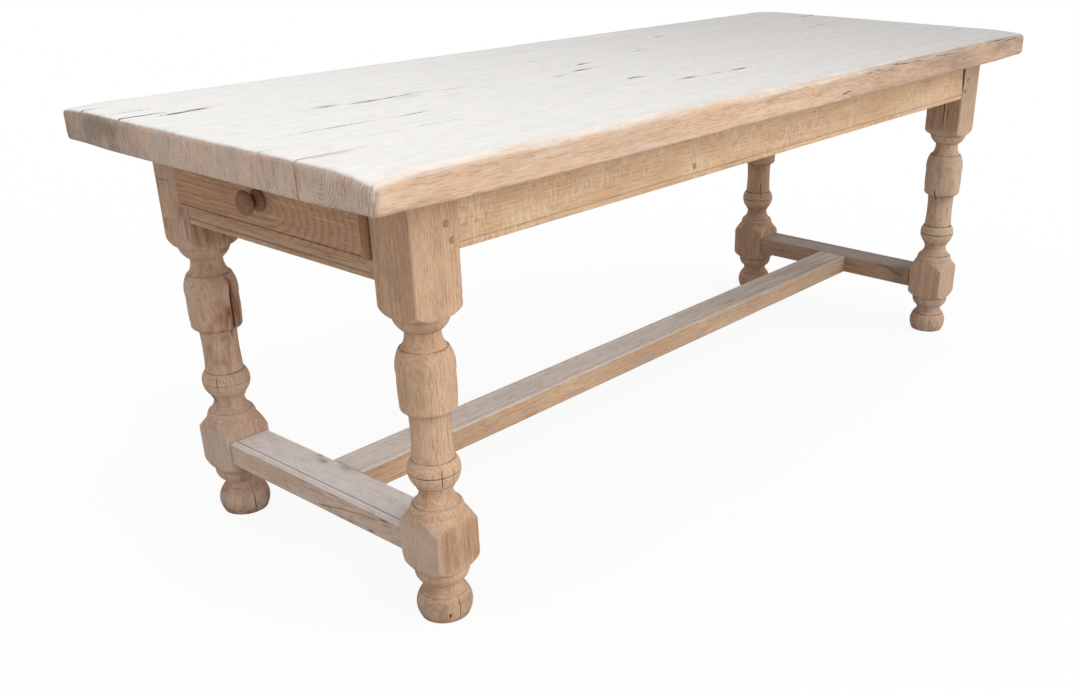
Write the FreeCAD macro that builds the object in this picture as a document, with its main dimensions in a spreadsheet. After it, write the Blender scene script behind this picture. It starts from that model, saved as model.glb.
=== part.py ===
import FreeCAD, Part
import os
import Sketcher
from FreeCAD import Placement, Rotation, Vector
from types import SimpleNamespace

# A refectory table with turned legs, an H stretcher and one drawer in the end at -X.
# Length runs along X, width along Y, and the origin is on the floor under the middle of the top.
# All sizes are in millimetres.

# Driving sizes, each with what it measures
DRIVING_SIZES = {
    "top_length": (2070, "length of the table top"),
    "top_width": (790, "width of the table top"),
    "top_thick": (55, "thickness of the planks"),
    "plank_one_share": (0.205, "front plank as a share of the width of the top"),
    "plank_two_share": (0.106, "narrow plank behind it, as such a share"),
    "plank_three_share": (0.466, "wide middle plank, as such a share"),
    "plank_four_share": (0.147, "plank behind the middle, as such a share; the last takes the rest"),
    "edge_round": (9, "worn round along the top edges"),
    "under_round": (4, "worn round along the lower edges"),
    "corner_round": (16, "worn round on the four corners of the top"),
    "tongue_thick": (8, "thickness of the loose tongues between the planks"),
    "tongue_width": (24, "width of the loose tongues"),
    "tongue_stop": (60, "distance from the ends of the top to the tongues"),
    "end_overhang": (106, "top past the legs at the ends"),
    "side_overhang": (63, "top past the legs at the sides"),
    "leg_width": (92, "square stock of the legs"),
    "foot_height": (50, "bun foot"),
    "foot_base_radius": (40.5, "bun foot on the floor"),
    "foot_rim_radius": (36, "top of the bun foot"),
    "foot_neck_height": (18, "neck over the bun foot"),
    "foot_neck_radius": (34, "ends of that neck"),
    "low_ring_height": (25, "moulded ring under the lower block"),
    "low_ring_radius": (45, "widest part of that ring"),
    "block_ease_height": (42, "rounded lower end of the lower block"),
    "block_ease_radius": (46, "lathe radius at the foot of the lower block"),
    "block_height": (36.5, "straight part of the lower block"),
    "block_cone_height": (23.5, "turned cone that leaves pointed corners"),
    "block_cone_radius": (44.5, "top of that cone"),
    "collar_height": (15, "rounded collar over the lower block"),
    "collar_radius": (39.5, "top of the collar"),
    "cove_height": (18, "hollow over the collar"),
    "cove_radius": (38, "foot of that hollow"),
    "low_neck_height": (9, "neck under the ball"),
    "low_neck_radius": (28, "radius of that neck"),
    "ball_fillet_height": (4, "square fillet under the ball"),
    "ball_fillet_radius": (31, "radius of that fillet"),
    "ball_low_height": (26, "lower half of the ball"),
    "ball_high_height": (21, "upper half of the ball"),
    "ball_radius": (43, "ball at its scored line"),
    "ball_top_radius": (36, "top of the ball"),
    "score_depth": (1.6, "depth of the line scored round the ball"),
    "column_height": (80, "plain column over the ball"),
    "column_foot_radius": (34.5, "foot of the column"),
    "column_head_radius": (33.5, "head of the column"),
    "vase_under_height": (14, "rounded underside of the vase"),
    "vase_height": (48, "nearly straight side of the vase"),
    "vase_low_radius": (44.8, "foot of that side"),
    "vase_high_radius": (45.5, "head of that side"),
    "vase_shoulder_height": (44, "rounded shoulder of the vase"),
    "vase_step_radius": (38.5, "vase at its scored step"),
    "vase_step": (2, "width of that step"),
    "vase_hollow_height": (21, "hollow from the step to the neck"),
    "top_neck_height": (8, "neck under the top block"),
    "top_neck_radius": (28.3, "radius of that neck"),
    "top_ovolo_height": (22, "rounded moulding over the neck"),
    "top_ovolo_low_radius": (31, "foot of that moulding"),
    "top_ovolo_high_radius": (45, "head of that moulding"),
    "shoulder_height": (32, "rounded lower end of the top block"),
    "shoulder_radius": (45.5, "lathe radius at the foot of the top block"),
    "top_block_height": (158, "square top block of the legs"),
    "apron_height": (93, "height of the aprons"),
    "apron_thick": (30, "thickness of the aprons"),
    "apron_setback": (1, "aprons and drawer rail behind the faces of the legs"),
    "apron_bead": (9, "scored line above the lower edge of an apron or rail"),
    "score_width": (2, "width of the scored lines along the boards"),
    "board_score_depth": (1.5, "depth of the scored lines along the boards"),
    "tenon_thick": (12, "thickness of the apron tenons"),
    "tenon_length": (54, "length of the apron tenons"),
    "tenon_low_shoulder": (9, "apron below its tenon"),
    "tenon_high_shoulder": (16, "apron above its tenon"),
    "rail_height": (31, "height of the drawer rail"),
    "rail_thick": (40, "depth of the drawer rail, front to back"),
    "rail_tenon_height": (19, "height of the drawer rail's tenons"),
    "rail_tenon_length": (46, "length of the drawer rail's tenons"),
    "drawer_opening": (106, "from the top of the drawer rail to the table top"),
    "peg_radius": (5.3, "radius of the pegs"),
    "peg_length": (44, "length of the pegs in the legs"),
    "peg_high_drop": (50, "upper peg below the top of the apron"),
    "peg_low_drop": (76, "lower peg below the top of the apron"),
    "peg_high_inset": (26, "upper peg from the shoulder of the apron"),
    "peg_low_inset": (16, "lower peg from the shoulder of the apron"),
    "cross_thick": (30, "thickness of the cross rail"),
    "cross_housing": (8, "depth of the housings in the aprons and rails"),
    "cross_top_gap": (12, "cross rail below the table top"),
    "cross_lip": (4, "cross rail below the drawer runners"),
    "cross_peg_drop": (70, "cross rail's peg below the table top"),
    "cross_peg_length": (70, "length of the cross rail's pegs"),
    "stretcher_width": (82, "width of the stretchers"),
    "stretcher_height": (46, "height of the stretchers"),
    "stretcher_drop": (31.5, "middle of the stretchers below the cone of the lower block"),
    "stretcher_tenon_thick": (18, "thickness of the stretcher tenons"),
    "stretcher_tenon_height": (30, "height of the end stretchers' tenons"),
    "stretcher_tenon_width": (52, "width of the centre stretcher's tenons"),
    "stretcher_tenon_length": (46, "length of the stretcher tenons"),
    "stretcher_bead": (13, "scored line from the edge of a stretcher"),
    "runner_width": (30, "width of the drawer runners"),
    "runner_thick": (18, "thickness of the drawer runners"),
    "runner_gap": (0.3, "drawer over its runners"),
    "guide_height": (24, "height of the drawer guides"),
    "guide_rise": (30, "drawer guides above the drawer rail"),
    "guide_gap": (1.2, "drawer guides from the sides of the drawer"),
    "nail_radius": (2, "radius of the guide nails"),
    "nail_bite": (20, "guide nails into the apron"),
    "nail_inset": (90, "guide nails from the ends of the guides"),
    "drawer_proud": (15, "drawer front in front of the legs"),
    "drawer_length": (660, "length of the drawer, front to back"),
    "drawer_side_gap": (1.5, "drawer from the legs"),
    "drawer_low_gap": (1.5, "drawer front over its rail"),
    "drawer_top_gap": (3, "drawer front below the table top"),
    "drawer_stop_gap": (0.5, "back of the drawer from the cross rail"),
    "front_thick": (22, "thickness of the drawer front"),
    "front_lap": (14, "drawer front outside the ends of the sides"),
    "front_bead": (6, "scored line above the lower edge of the drawer front"),
    "side_thick": (12, "thickness of the drawer sides"),
    "side_top_gap": (15, "drawer sides below the table top"),
    "back_thick": (12, "thickness of the drawer back"),
    "bottom_thick": (8, "thickness of the drawer bottom"),
    "bottom_rise": (8, "drawer bottom above the lower edge of the sides"),
    "bottom_groove": (5, "depth of the grooves for the drawer bottom"),
    "brad_radius": (1.4, "radius of the drawer's nails"),
    "brad_length": (34, "length of the drawer's nails"),
    "brad_inset": (15, "drawer's nails from the edges of a side"),
    "knob_base_radius": (16.5, "knob on the drawer front"),
    "knob_flange_radius": (18, "widest part of the knob's base"),
    "knob_flange_height": (5, "that part from the drawer front"),
    "knob_waist_radius": (8.5, "waist of the knob"),
    "knob_waist_height": (14, "waist from the drawer front"),
    "knob_head_radius": (20, "head of the knob"),
    "knob_head_height": (25, "widest part of the head from the drawer front"),
    "knob_length": (33, "knob from the drawer front"),
    "knob_rim_radius": (14, "flat of the knob's head"),
    "spigot_radius": (7, "spigot of the knob"),
    "patch_width": (36, "patch let into the left leg"),
    "patch_height": (70, "height of the patch"),
    "patch_depth": (10, "depth of the patch"),
    "patch_drop": (70, "patch below the top of the leg"),
    "patch_inset": (8, "patch from the outer edge of the leg"),
    "button_length": (40, "wooden buttons from the apron inwards"),
    "button_width": (30, "width of the buttons"),
    "button_thick": (20, "thickness of the buttons"),
    "button_tongue": (9, "tongue of a button into the apron"),
    "button_tongue_thick": (9, "thickness of that tongue"),
    "button_drop": (10, "tongue below the table top"),
    "button_pitch": (600, "spacing of the buttons along the long aprons"),
    "button_end_pitch": (200, "spacing of the buttons along the end apron"),
    "screw_radius": (2.5, "shank of the button screws"),
    "screw_head_radius": (4.8, "head of the button screws"),
    "screw_head_height": (3, "countersunk head of the button screws"),
    "screw_bite": (28, "screws into the planks"),
    "fit_clear": (0.2, "play in every joint"),
    "depth_clear": (2, "space at the bottom of a mortise"),
}

# Share of the chord by which an arc stands out from it
FULL_ROUND = 0.168
RING_ROUND = 0.15
QUARTER_ROUND = 0.207
SCOOP = 0.13
SOFT_ROUND = 0.09
FLAT_ROUND = 0.02
# Lathe radius left over the square blocks, as a share of the leg's width; past half the diagonal
BLOCK_LATHE_SHARE = 0.715

doc = FreeCAD.newDocument("RefectoryTable")
sub_parts = []


# A length that carries its value and the expression that gives it
class Size:
    def __init__(self, value, text):
        self.value = value
        self.text = text

    def __add__(self, other):
        other = as_size(other)
        return Size(self.value + other.value, f"({self.text} + {other.text})")

    def __sub__(self, other):
        other = as_size(other)
        return Size(self.value - other.value, f"({self.text} - {other.text})")

    def __mul__(self, factor):
        factor = as_size(factor)
        return Size(self.value * factor.value, f"({self.text} * {factor.text})")

    def __neg__(self):
        return Size(-self.value, f"(-{self.text})")


def as_size(number):
    return number if isinstance(number, Size) else Size(number, str(number))


ZERO = Size(0, "0")


# Sheets: one for the driving sizes, one for the levels and lines worked out from them
def write_sheet():
    sheet = doc.addObject("Spreadsheet::Sheet", "Sizes")
    named = {}
    for row, (name, (value, meaning)) in enumerate(DRIVING_SIZES.items(), 1):
        sheet.set(f"A{row}", meaning)
        sheet.set(f"B{row}", str(value))
        sheet.setAlias(f"B{row}", name)
        named[name] = Size(value, f"Sizes.{name}")
    doc.recompute()
    return SimpleNamespace(**named)


size = write_sheet()
datum_sheet = doc.addObject("Spreadsheet::Sheet", "Datums")
datum_names = []


def datum(name, length):
    datum_names.append(name)
    row = len(datum_names)
    datum_sheet.set(f"A{row}", name)
    datum_sheet.set(f"B{row}", "=" + length.text)
    datum_sheet.setAlias(f"B{row}", name)
    return Size(length.value, f"Datums.{name}")


# Levels up the leg, from the floor
foot_top = datum("foot_top", size.foot_height + ZERO)
foot_neck_top = datum("foot_neck_top", foot_top + size.foot_neck_height)
low_ring_top = datum("low_ring_top", foot_neck_top + size.low_ring_height)
block_low = datum("block_low", low_ring_top + size.block_ease_height)
block_high = datum("block_high", block_low + size.block_height)
cone_top = datum("cone_top", block_high + size.block_cone_height)
collar_top = datum("collar_top", cone_top + size.collar_height)
cove_top = datum("cove_top", collar_top + size.cove_height)
low_neck_top = datum("low_neck_top", cove_top + size.low_neck_height)
ball_foot = datum("ball_foot", low_neck_top + size.ball_fillet_height)
ball_line = datum("ball_line", ball_foot + size.ball_low_height)
ball_top = datum("ball_top", ball_line + size.ball_high_height)
column_top = datum("column_top", ball_top + size.column_height)
vase_low = datum("vase_low", column_top + size.vase_under_height)
vase_high = datum("vase_high", vase_low + size.vase_height)
vase_line = datum("vase_line", vase_high + size.vase_shoulder_height)
top_neck_low = datum("top_neck_low", vase_line + size.vase_hollow_height)
top_neck_high = datum("top_neck_high", top_neck_low + size.top_neck_height)
shoulder_low = datum("shoulder_low", top_neck_high + size.top_ovolo_height)
shoulder_high = datum("shoulder_high", shoulder_low + size.shoulder_height)
leg_top = datum("leg_top", shoulder_high + size.top_block_height)
table_height = datum("table_height", leg_top + size.top_thick)

# Lines in plan, measured from the middle of the table
leg_outer_x = datum("leg_outer_x", size.top_length * 0.5 - size.end_overhang)
leg_outer_y = datum("leg_outer_y", size.top_width * 0.5 - size.side_overhang)
leg_inner_x = datum("leg_inner_x", leg_outer_x - size.leg_width)
leg_inner_y = datum("leg_inner_y", leg_outer_y - size.leg_width)
leg_centre_x = datum("leg_centre_x", leg_outer_x - size.leg_width * 0.5)
leg_centre_y = datum("leg_centre_y", leg_outer_y - size.leg_width * 0.5)
apron_face_y = datum("apron_face_y", leg_outer_y - size.apron_setback)
apron_back_y = datum("apron_back_y", apron_face_y - size.apron_thick)
apron_face_x = datum("apron_face_x", leg_outer_x - size.apron_setback)
apron_back_x = datum("apron_back_x", apron_face_x - size.apron_thick)
apron_low = datum("apron_low", leg_top - size.apron_height)
tenon_low = datum("tenon_low", apron_low + size.tenon_low_shoulder)
tenon_high = datum("tenon_high", leg_top - size.tenon_high_shoulder)

# Drawer rail, stretchers, drawer and cross rail; the drawer end is at -X
rail_top = datum("rail_top", leg_top - size.drawer_opening)
rail_low = datum("rail_low", rail_top - size.rail_height)
rail_back_x = datum("rail_back_x", apron_face_x - size.rail_thick)
stretcher_mid = datum("stretcher_mid", block_high - size.stretcher_drop)
stretcher_low = datum("stretcher_low", stretcher_mid - size.stretcher_height * 0.5)
stretcher_high = datum("stretcher_high", stretcher_mid + size.stretcher_height * 0.5)
drawer_face_x = datum("drawer_face_x", -leg_outer_x - size.drawer_proud)
drawer_front_back_x = datum("drawer_front_back_x", drawer_face_x + size.front_thick)
drawer_side_start_x = datum("drawer_side_start_x", drawer_face_x + size.front_lap)
drawer_end_x = datum("drawer_end_x", drawer_face_x + size.drawer_length)
drawer_back_face_x = datum("drawer_back_face_x", drawer_end_x - size.back_thick)
drawer_outer_y = datum("drawer_outer_y", leg_inner_y - size.drawer_side_gap)
drawer_inner_y = datum("drawer_inner_y", drawer_outer_y - size.side_thick)
drawer_front_low = datum("drawer_front_low", rail_top + size.drawer_low_gap)
drawer_front_high = datum("drawer_front_high", leg_top - size.drawer_top_gap)
drawer_side_low = datum("drawer_side_low", rail_top + size.runner_gap)
drawer_side_high = datum("drawer_side_high", leg_top - size.side_top_gap)
bottom_low = datum("bottom_low", drawer_side_low + size.bottom_rise)
bottom_high = datum("bottom_high", bottom_low + size.bottom_thick)
cross_face_x = datum("cross_face_x", drawer_end_x + size.drawer_stop_gap)
cross_back_x = datum("cross_back_x", cross_face_x + size.cross_thick)
cross_mid_x = datum("cross_mid_x", cross_face_x + size.cross_thick * 0.5)
runner_low = datum("runner_low", rail_top - size.runner_thick)
runner_inner_y = datum("runner_inner_y", drawer_outer_y - size.runner_width)
button_top = datum("button_top", leg_top - size.button_thick)
doc.recompute()


# Makers of shapes
def bind(thing, name, length):
    thing.setExpression(name, length.text)


def put_at(thing, x, y, z):
    for axis, length in zip("xyz", (x, y, z)):
        bind(thing, f"Placement.Base.{axis}", as_size(length))


def size_box(box, x, y, z):
    for name, (low, high) in zip(("Length", "Width", "Height"), (x, y, z)):
        bind(box, name, as_size(high) - low)
    put_at(box, x[0], y[0], z[0])
    return box


def slab(x, y, z):
    return size_box(doc.addObject("Part::Box", "Slab"), x, y, z)


def rod(radius, axis, low, high, across):
    turns = {"x": Rotation(Vector(0, 1, 0), 90), "y": Rotation(Vector(1, 0, 0), -90), "z": Rotation()}
    cylinder = doc.addObject("Part::Cylinder", "Rod")
    cylinder.Placement = Placement(Vector(), turns[axis])
    bind(cylinder, "Radius", as_size(radius))
    bind(cylinder, "Height", as_size(high) - low)
    start = {"x": (low, *across), "y": (across[0], low, across[1]), "z": (*across, low)}[axis]
    put_at(cylinder, *start)
    return cylinder


def joined(shapes):
    if len(shapes) == 1:
        return shapes[0]
    fusion = doc.addObject("Part::MultiFuse", "Joined")
    fusion.Shapes = shapes
    fusion.Refine = True
    return fusion


def carved(base, tools):
    cut = doc.addObject("Part::Cut", "Carved")
    cut.Base = base
    cut.Tool = joined(tools)
    cut.Refine = True
    return cut


def grouped(shapes):
    group = doc.addObject("Part::Compound", "Group")
    group.Links = shapes
    return group


def sub_part(label, shape):
    shape.Label = label
    sub_parts.append(shape)
    return shape


# The same range on the +side or mirrored to the -side of the table
def on_side(side, near, far):
    return (as_size(near), as_size(far)) if side > 0 else (-as_size(far), -as_size(near))


def grown(span, play):
    return (as_size(span[0]) - play, as_size(span[1]) + play)


# A body turned on the lathe about Z. The outline is a list of radius, height and the bulge of the
# stretch that leads to the next point: over 0 it swells outwards, under 0 it is hollow.
def turned(name, outline):
    body = doc.addObject("PartDesign::Body", name)
    sketch = body.newObject("Sketcher::SketchObject", name + "Outline")
    planes = {plane.Role: plane for plane in body.Origin.OriginFeatures}
    sketch.AttachmentSupport = [(planes["XZ_Plane"], "")]
    sketch.MapMode = "FlatFace"
    points = [(as_size(radius), as_size(height)) for radius, height, bulge in outline]
    ends = []
    for index, (radius, height, bulge) in enumerate(outline):
        ends.append(draw_stretch(sketch, points[index], points[(index + 1) % len(points)], bulge))
    for index, (edge, first, last) in enumerate(ends):
        next_edge, next_first, next_last = ends[(index + 1) % len(ends)]
        sketch.addConstraint(Sketcher.Constraint("Coincident", edge, last, next_edge, next_first))
        pin_point(sketch, edge, first, *points[index])
    revolution = body.newObject("PartDesign::Revolution", name + "Turning")
    revolution.Profile = sketch
    revolution.ReferenceAxis = (sketch, ["V_Axis"])
    revolution.Angle = 360
    return body


def flat_vector(point):
    return Vector(point[0].value, point[1].value, 0)


# Draws a line, or an arc through a point that stands off the chord by the bulge
def draw_stretch(sketch, start, end, bulge):
    if not bulge:
        edge = sketch.addGeometry(Part.LineSegment(flat_vector(start), flat_vector(end)), False)
        return edge, 1, 2
    middle = ((start[0] + end[0]) * 0.5 + (end[1] - start[1]) * bulge,
              (start[1] + end[1]) * 0.5 - (end[0] - start[0]) * bulge)
    arc = Part.Arc(flat_vector(start), flat_vector(middle), flat_vector(end))
    edge = sketch.addGeometry(arc, False)
    guide = sketch.addGeometry(Part.Point(flat_vector(middle)), True)
    pin_point(sketch, guide, 1, *middle)
    sketch.addConstraint(Sketcher.Constraint("PointOnObject", guide, 1, edge))
    first = sketch.getPoint(edge, 1)
    backwards = first.distanceToPoint(flat_vector(start)) > first.distanceToPoint(flat_vector(end))
    return (edge, 2, 1) if backwards else (edge, 1, 2)


# Holds a sketch point at a radius and a height
def pin_point(sketch, edge, end, radius, height):
    for kind, length, axis in (("DistanceX", radius, -2), ("DistanceY", height, -1)):
        if length.text == ZERO.text:
            sketch.addConstraint(Sketcher.Constraint("PointOnObject", edge, end, axis))
            continue
        row = sketch.addConstraint(Sketcher.Constraint(kind, -1, 1, edge, end, length.value))
        sketch.setExpression(f"Constraints[{row}]", length.text)


# Fasteners
def screw(x, y, low, high):
    head_top = low + size.screw_head_height
    head = doc.addObject("Part::Cone", "ScrewHead")
    bind(head, "Radius1", size.screw_head_radius)
    bind(head, "Radius2", size.screw_radius)
    bind(head, "Height", size.screw_head_height)
    put_at(head, x, y, low)
    return joined([head, rod(size.screw_radius, "z", head_top, high, (x, y))])


def screw_hole(x, y, low, high):
    sink = doc.addObject("Part::Cone", "Countersink")
    bind(sink, "Radius1", size.screw_head_radius + size.fit_clear)
    bind(sink, "Radius2", size.screw_radius + size.fit_clear)
    bind(sink, "Height", size.screw_head_height + size.fit_clear)
    put_at(sink, x, y, low)
    return [sink, rod(size.screw_radius + size.fit_clear, "z", low, high + size.fit_clear, (x, y))]


# Top: planks edge to edge with loose tongues in stopped grooves
def edge_names(shape, wanted):
    return [f"Edge{number}" for number, edge in enumerate(shape.Edges, 1) if wanted(edge)]


def rounded(body, feature, name, radius, wanted):
    doc.recompute()
    fillet = body.newObject("PartDesign::Fillet", name)
    fillet.Base = (feature, edge_names(feature.Shape, wanted))
    bind(fillet, "Radius", radius)
    doc.recompute()
    return fillet


def near(first, second):
    return abs(first - second) < 1e-4


def plank(number, low_y, high_y, holes):
    body = doc.addObject("PartDesign::Body", f"PlankBody{number}")
    blank = body.newObject("PartDesign::AdditiveBox", "Blank")
    half = size.top_length * 0.5
    size_box(blank, (-half, half), (low_y, high_y), (leg_top, table_height))
    feature = blank
    edge_y = size.top_width.value / 2
    outer = [y for y in (low_y.value, high_y.value) if near(abs(y), edge_y)]

    def upright_corner(edge):
        box = edge.BoundBox
        return box.ZLength > 1 and any(near(box.YMin, y) for y in outer)

    def worn(level):
        def test(edge):
            box = edge.BoundBox
            flat = near(box.ZMin, level) and near(box.ZMax, level)
            joint = near(box.YLength, 0) and not any(near(box.YMin, y) for y in outer)
            return flat and not joint
        return test

    if outer:
        feature = rounded(body, feature, "Corners", size.corner_round, upright_corner)
    feature = rounded(body, feature, "TopEdges", size.edge_round, worn(table_height.value))
    feature = rounded(body, feature, "LowEdges", size.under_round, worn(leg_top.value))
    return sub_part(f"top_plank_{number}", carved(body, holes))


def tongue_space(joint_y, play):
    half = size.top_length * 0.5 - size.tongue_stop
    middle = leg_top + size.top_thick * 0.5
    return (grown((-half, half), play),
            grown((joint_y - size.tongue_width * 0.5, joint_y + size.tongue_width * 0.5), play),
            grown((middle - size.tongue_thick * 0.5, middle + size.tongue_thick * 0.5), play))


def table_top(screw_places):
    front = -(size.top_width * 0.5)
    joints = [front]
    shares = (size.plank_one_share, size.plank_two_share, size.plank_three_share, size.plank_four_share)
    for share in shares:
        joints.append(joints[-1] + size.top_width * share)
    joints.append(size.top_width * 0.5)
    grooves = [slab(*tongue_space(y, size.fit_clear)) for y in joints[1:-1]]
    pilots = [rod(size.screw_radius + size.fit_clear, "z", leg_top - size.fit_clear,
                  leg_top + size.screw_bite + size.fit_clear, (x, y)) for x, y in screw_places]
    holes = joined(grooves + pilots)
    for number, (low_y, high_y) in enumerate(zip(joints, joints[1:]), 1):
        plank(number, low_y, high_y, [holes])
    sub_part("top_tongues", grouped([slab(*tongue_space(y, ZERO)) for y in joints[1:-1]]))


# Tenon spaces, shared by the tenons and, with play, by their mortises
def mortise_end(reach, play):
    return reach + size.depth_clear if play.value else reach


def long_tenon(side_x, side_y, play):
    mid = apron_face_y - size.apron_thick * 0.5
    reach = leg_inner_x + size.tenon_length
    return (on_side(side_x, leg_inner_x, mortise_end(reach, play)),
            grown(on_side(side_y, mid - size.tenon_thick * 0.5, mid + size.tenon_thick * 0.5), play),
            grown((tenon_low, tenon_high), play))


def end_tenon(side_y, play):
    mid = apron_face_x - size.apron_thick * 0.5
    reach = leg_inner_y + size.tenon_length
    return (grown((mid - size.tenon_thick * 0.5, mid + size.tenon_thick * 0.5), play),
            on_side(side_y, leg_inner_y, mortise_end(reach, play)),
            grown((tenon_low, tenon_high), play))


def rail_tenon(side_y, play):
    mid = apron_face_x - size.rail_thick * 0.5
    middle = rail_low + size.rail_height * 0.5
    reach = leg_inner_y + size.rail_tenon_length
    return (grown((-mid - size.tenon_thick * 0.5, -mid + size.tenon_thick * 0.5), play),
            on_side(side_y, leg_inner_y, mortise_end(reach, play)),
            grown((middle - size.rail_tenon_height * 0.5, middle + size.rail_tenon_height * 0.5), play))


def stretcher_tenon(side_x, side_y, play):
    low = leg_centre_x - size.stretcher_tenon_thick * 0.5
    high = leg_centre_x + size.stretcher_tenon_thick * 0.5
    reach = leg_inner_y + size.stretcher_tenon_length
    half = size.stretcher_tenon_height * 0.5
    return (grown(on_side(side_x, low, high), play),
            on_side(side_y, leg_inner_y, mortise_end(reach, play)),
            grown((stretcher_mid - half, stretcher_mid + half), play))


def centre_tenon(side_x, play):
    start = leg_centre_x - size.stretcher_width * 0.5
    reach = start + size.stretcher_tenon_length
    half_width = size.stretcher_tenon_width * 0.5
    half_height = size.stretcher_tenon_thick * 0.5
    return (on_side(side_x, start, mortise_end(reach, play)),
            grown((-half_width, half_width), play),
            grown((stretcher_mid - half_height, stretcher_mid + half_height), play))


# Pegs: two through each apron tenon, driven from the outer face of the leg
def leg_peg_places(side_x, side_y):
    return [(leg_inner_x + inset, leg_top - drop, side_x, side_y)
            for inset, drop in ((size.peg_high_inset, size.peg_high_drop),
                                (size.peg_low_inset, size.peg_low_drop))]


def leg_peg(place, play):
    x, z, side_x, side_y = place
    low, high = on_side(side_y, leg_outer_y - size.peg_length - play, leg_outer_y)
    return rod(size.peg_radius + play, "y", low, high, (x * side_x, z))


def end_peg(side_y, inset, drop, play):
    low = leg_outer_x - size.peg_length - play
    across = ((leg_inner_y + inset) * side_y, leg_top - drop)
    return rod(size.peg_radius + play, "x", low, leg_outer_x, across)


def end_pegs(side_y, play):
    return [end_peg(side_y, size.peg_high_inset, size.peg_high_drop, play),
            end_peg(side_y, size.peg_low_inset, size.peg_low_drop, play)]


def leg_pegs(play):
    return [leg_peg(place, play) for side_x in (-1, 1) for side_y in (-1, 1)
            for place in leg_peg_places(side_x, side_y)]


# Patch let into the outer face of the left leg
def patch_space(play):
    outer = leg_outer_y - size.patch_inset
    high = leg_top - size.patch_drop
    return ((-leg_outer_x, -leg_outer_x + size.patch_depth + play),
            grown((outer - size.patch_width, outer), play),
            grown((high - size.patch_height, high), play))


# Legs
def leg_outline():
    block = size.leg_width * BLOCK_LATHE_SHARE
    scored = size.ball_radius - size.score_depth
    above_line = ball_line + size.score_depth
    below_line = ball_line - size.score_depth
    return [
        (ZERO, ZERO, 0),
        (size.foot_base_radius, ZERO, FULL_ROUND),
        (size.foot_rim_radius, foot_top, 0),
        (size.foot_neck_radius, foot_top, -SCOOP),
        (size.foot_neck_radius, foot_neck_top, 0),
        (size.foot_rim_radius, foot_neck_top, RING_ROUND),
        (size.low_ring_radius, low_ring_top, 0),
        (size.block_ease_radius, low_ring_top, QUARTER_ROUND),
        (block, block_low, 0),
        (block, block_high, 0),
        (size.block_cone_radius, cone_top, SOFT_ROUND),
        (size.collar_radius, collar_top, 0),
        (size.cove_radius, collar_top, -SOFT_ROUND),
        (size.low_neck_radius, cove_top, 0),
        (size.low_neck_radius, low_neck_top, 0),
        (size.ball_fillet_radius, low_neck_top, 0),
        (size.ball_fillet_radius, ball_foot, SOFT_ROUND),
        (size.ball_radius, below_line, 0),
        (scored, ball_line, 0),
        (size.ball_radius, above_line, SOFT_ROUND),
        (size.ball_top_radius, ball_top, 0),
        (size.column_foot_radius, ball_top, -FLAT_ROUND),
        (size.column_head_radius, column_top, SOFT_ROUND),
        (size.vase_low_radius, vase_low, FLAT_ROUND),
        (size.vase_high_radius, vase_high, SOFT_ROUND),
        (size.vase_step_radius, vase_line, 0),
        (size.vase_step_radius - size.vase_step, vase_line, -SOFT_ROUND),
        (size.top_neck_radius, top_neck_low, 0),
        (size.top_neck_radius, top_neck_high, 0),
        (size.top_ovolo_low_radius, top_neck_high, SOFT_ROUND),
        (size.top_ovolo_high_radius, shoulder_low, 0),
        (size.shoulder_radius, shoulder_low, QUARTER_ROUND),
        (block, shoulder_high, 0),
        (block, leg_top, 0),
        (ZERO, leg_top, 0),
    ]


def leg(label, side_x, side_y):
    turning = turned("Leg" + "".join(word.title() for word in label.split("_")), leg_outline())
    put_at(turning, leg_centre_x * side_x, leg_centre_y * side_y, ZERO)
    stock = slab(on_side(side_x, leg_inner_x, leg_outer_x), on_side(side_y, leg_inner_y, leg_outer_y),
                 (ZERO, leg_top))
    squared = doc.addObject("Part::Common", "Squared")
    squared.Base = turning
    squared.Tool = stock
    play = size.fit_clear
    cuts = [slab(*long_tenon(side_x, side_y, play)), slab(*stretcher_tenon(side_x, side_y, play))]
    cuts += [leg_peg(place, play) for place in leg_peg_places(side_x, side_y)]
    if side_x > 0:
        cuts += [slab(*end_tenon(side_y, play))] + end_pegs(side_y, play)
    else:
        cuts += [slab(*rail_tenon(side_y, play))]
    if side_x < 0 and side_y > 0:
        cuts += [slab(*patch_space(play))]
    return sub_part(label, carved(squared, cuts))


# Aprons and rails
def button_places_long():
    return [size.button_pitch * step for step in (-1, 0, 1)]


def button_places_end():
    return [size.button_end_pitch * step for step in (-0.5, 0.5)]


def long_button_slot(x, side_y, play):
    high = leg_top - size.button_drop
    half = size.button_width * 0.5
    return (grown((x - half, x + half), play),
            on_side(side_y, apron_back_y, apron_back_y + size.button_tongue + play),
            grown((high - size.button_tongue_thick, high), play))


def end_button_slot(y, play):
    high = leg_top - size.button_drop
    half = size.button_width * 0.5
    return ((apron_back_x, apron_back_x + size.button_tongue + play),
            grown((y - half, y + half), play),
            grown((high - size.button_tongue_thick, high), play))


def cross_end(side_y, play):
    reach = apron_back_y + size.cross_housing
    return (grown((cross_face_x, cross_back_x), play),
            on_side(side_y, apron_back_y, reach + play),
            grown((apron_low + size.tenon_low_shoulder, leg_top - size.cross_top_gap), play))


def cross_peg(side_y, play):
    low, high = on_side(side_y, apron_face_y - size.cross_peg_length - play, apron_face_y)
    return rod(size.peg_radius + play, "y", low, high, (cross_mid_x, leg_top - size.cross_peg_drop))


def guide_nail(x, side_y, play):
    inner = drawer_outer_y + size.guide_gap
    low, high = on_side(side_y, inner, apron_back_y + size.nail_bite + play)
    return rod(size.nail_radius + play, "y", low, high, (x, guide_mid()))


def guide_mid():
    return rail_top + size.guide_rise + size.guide_height * 0.5


def guide_nail_places():
    return [-leg_inner_x + size.nail_inset, cross_face_x - size.nail_inset]


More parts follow.
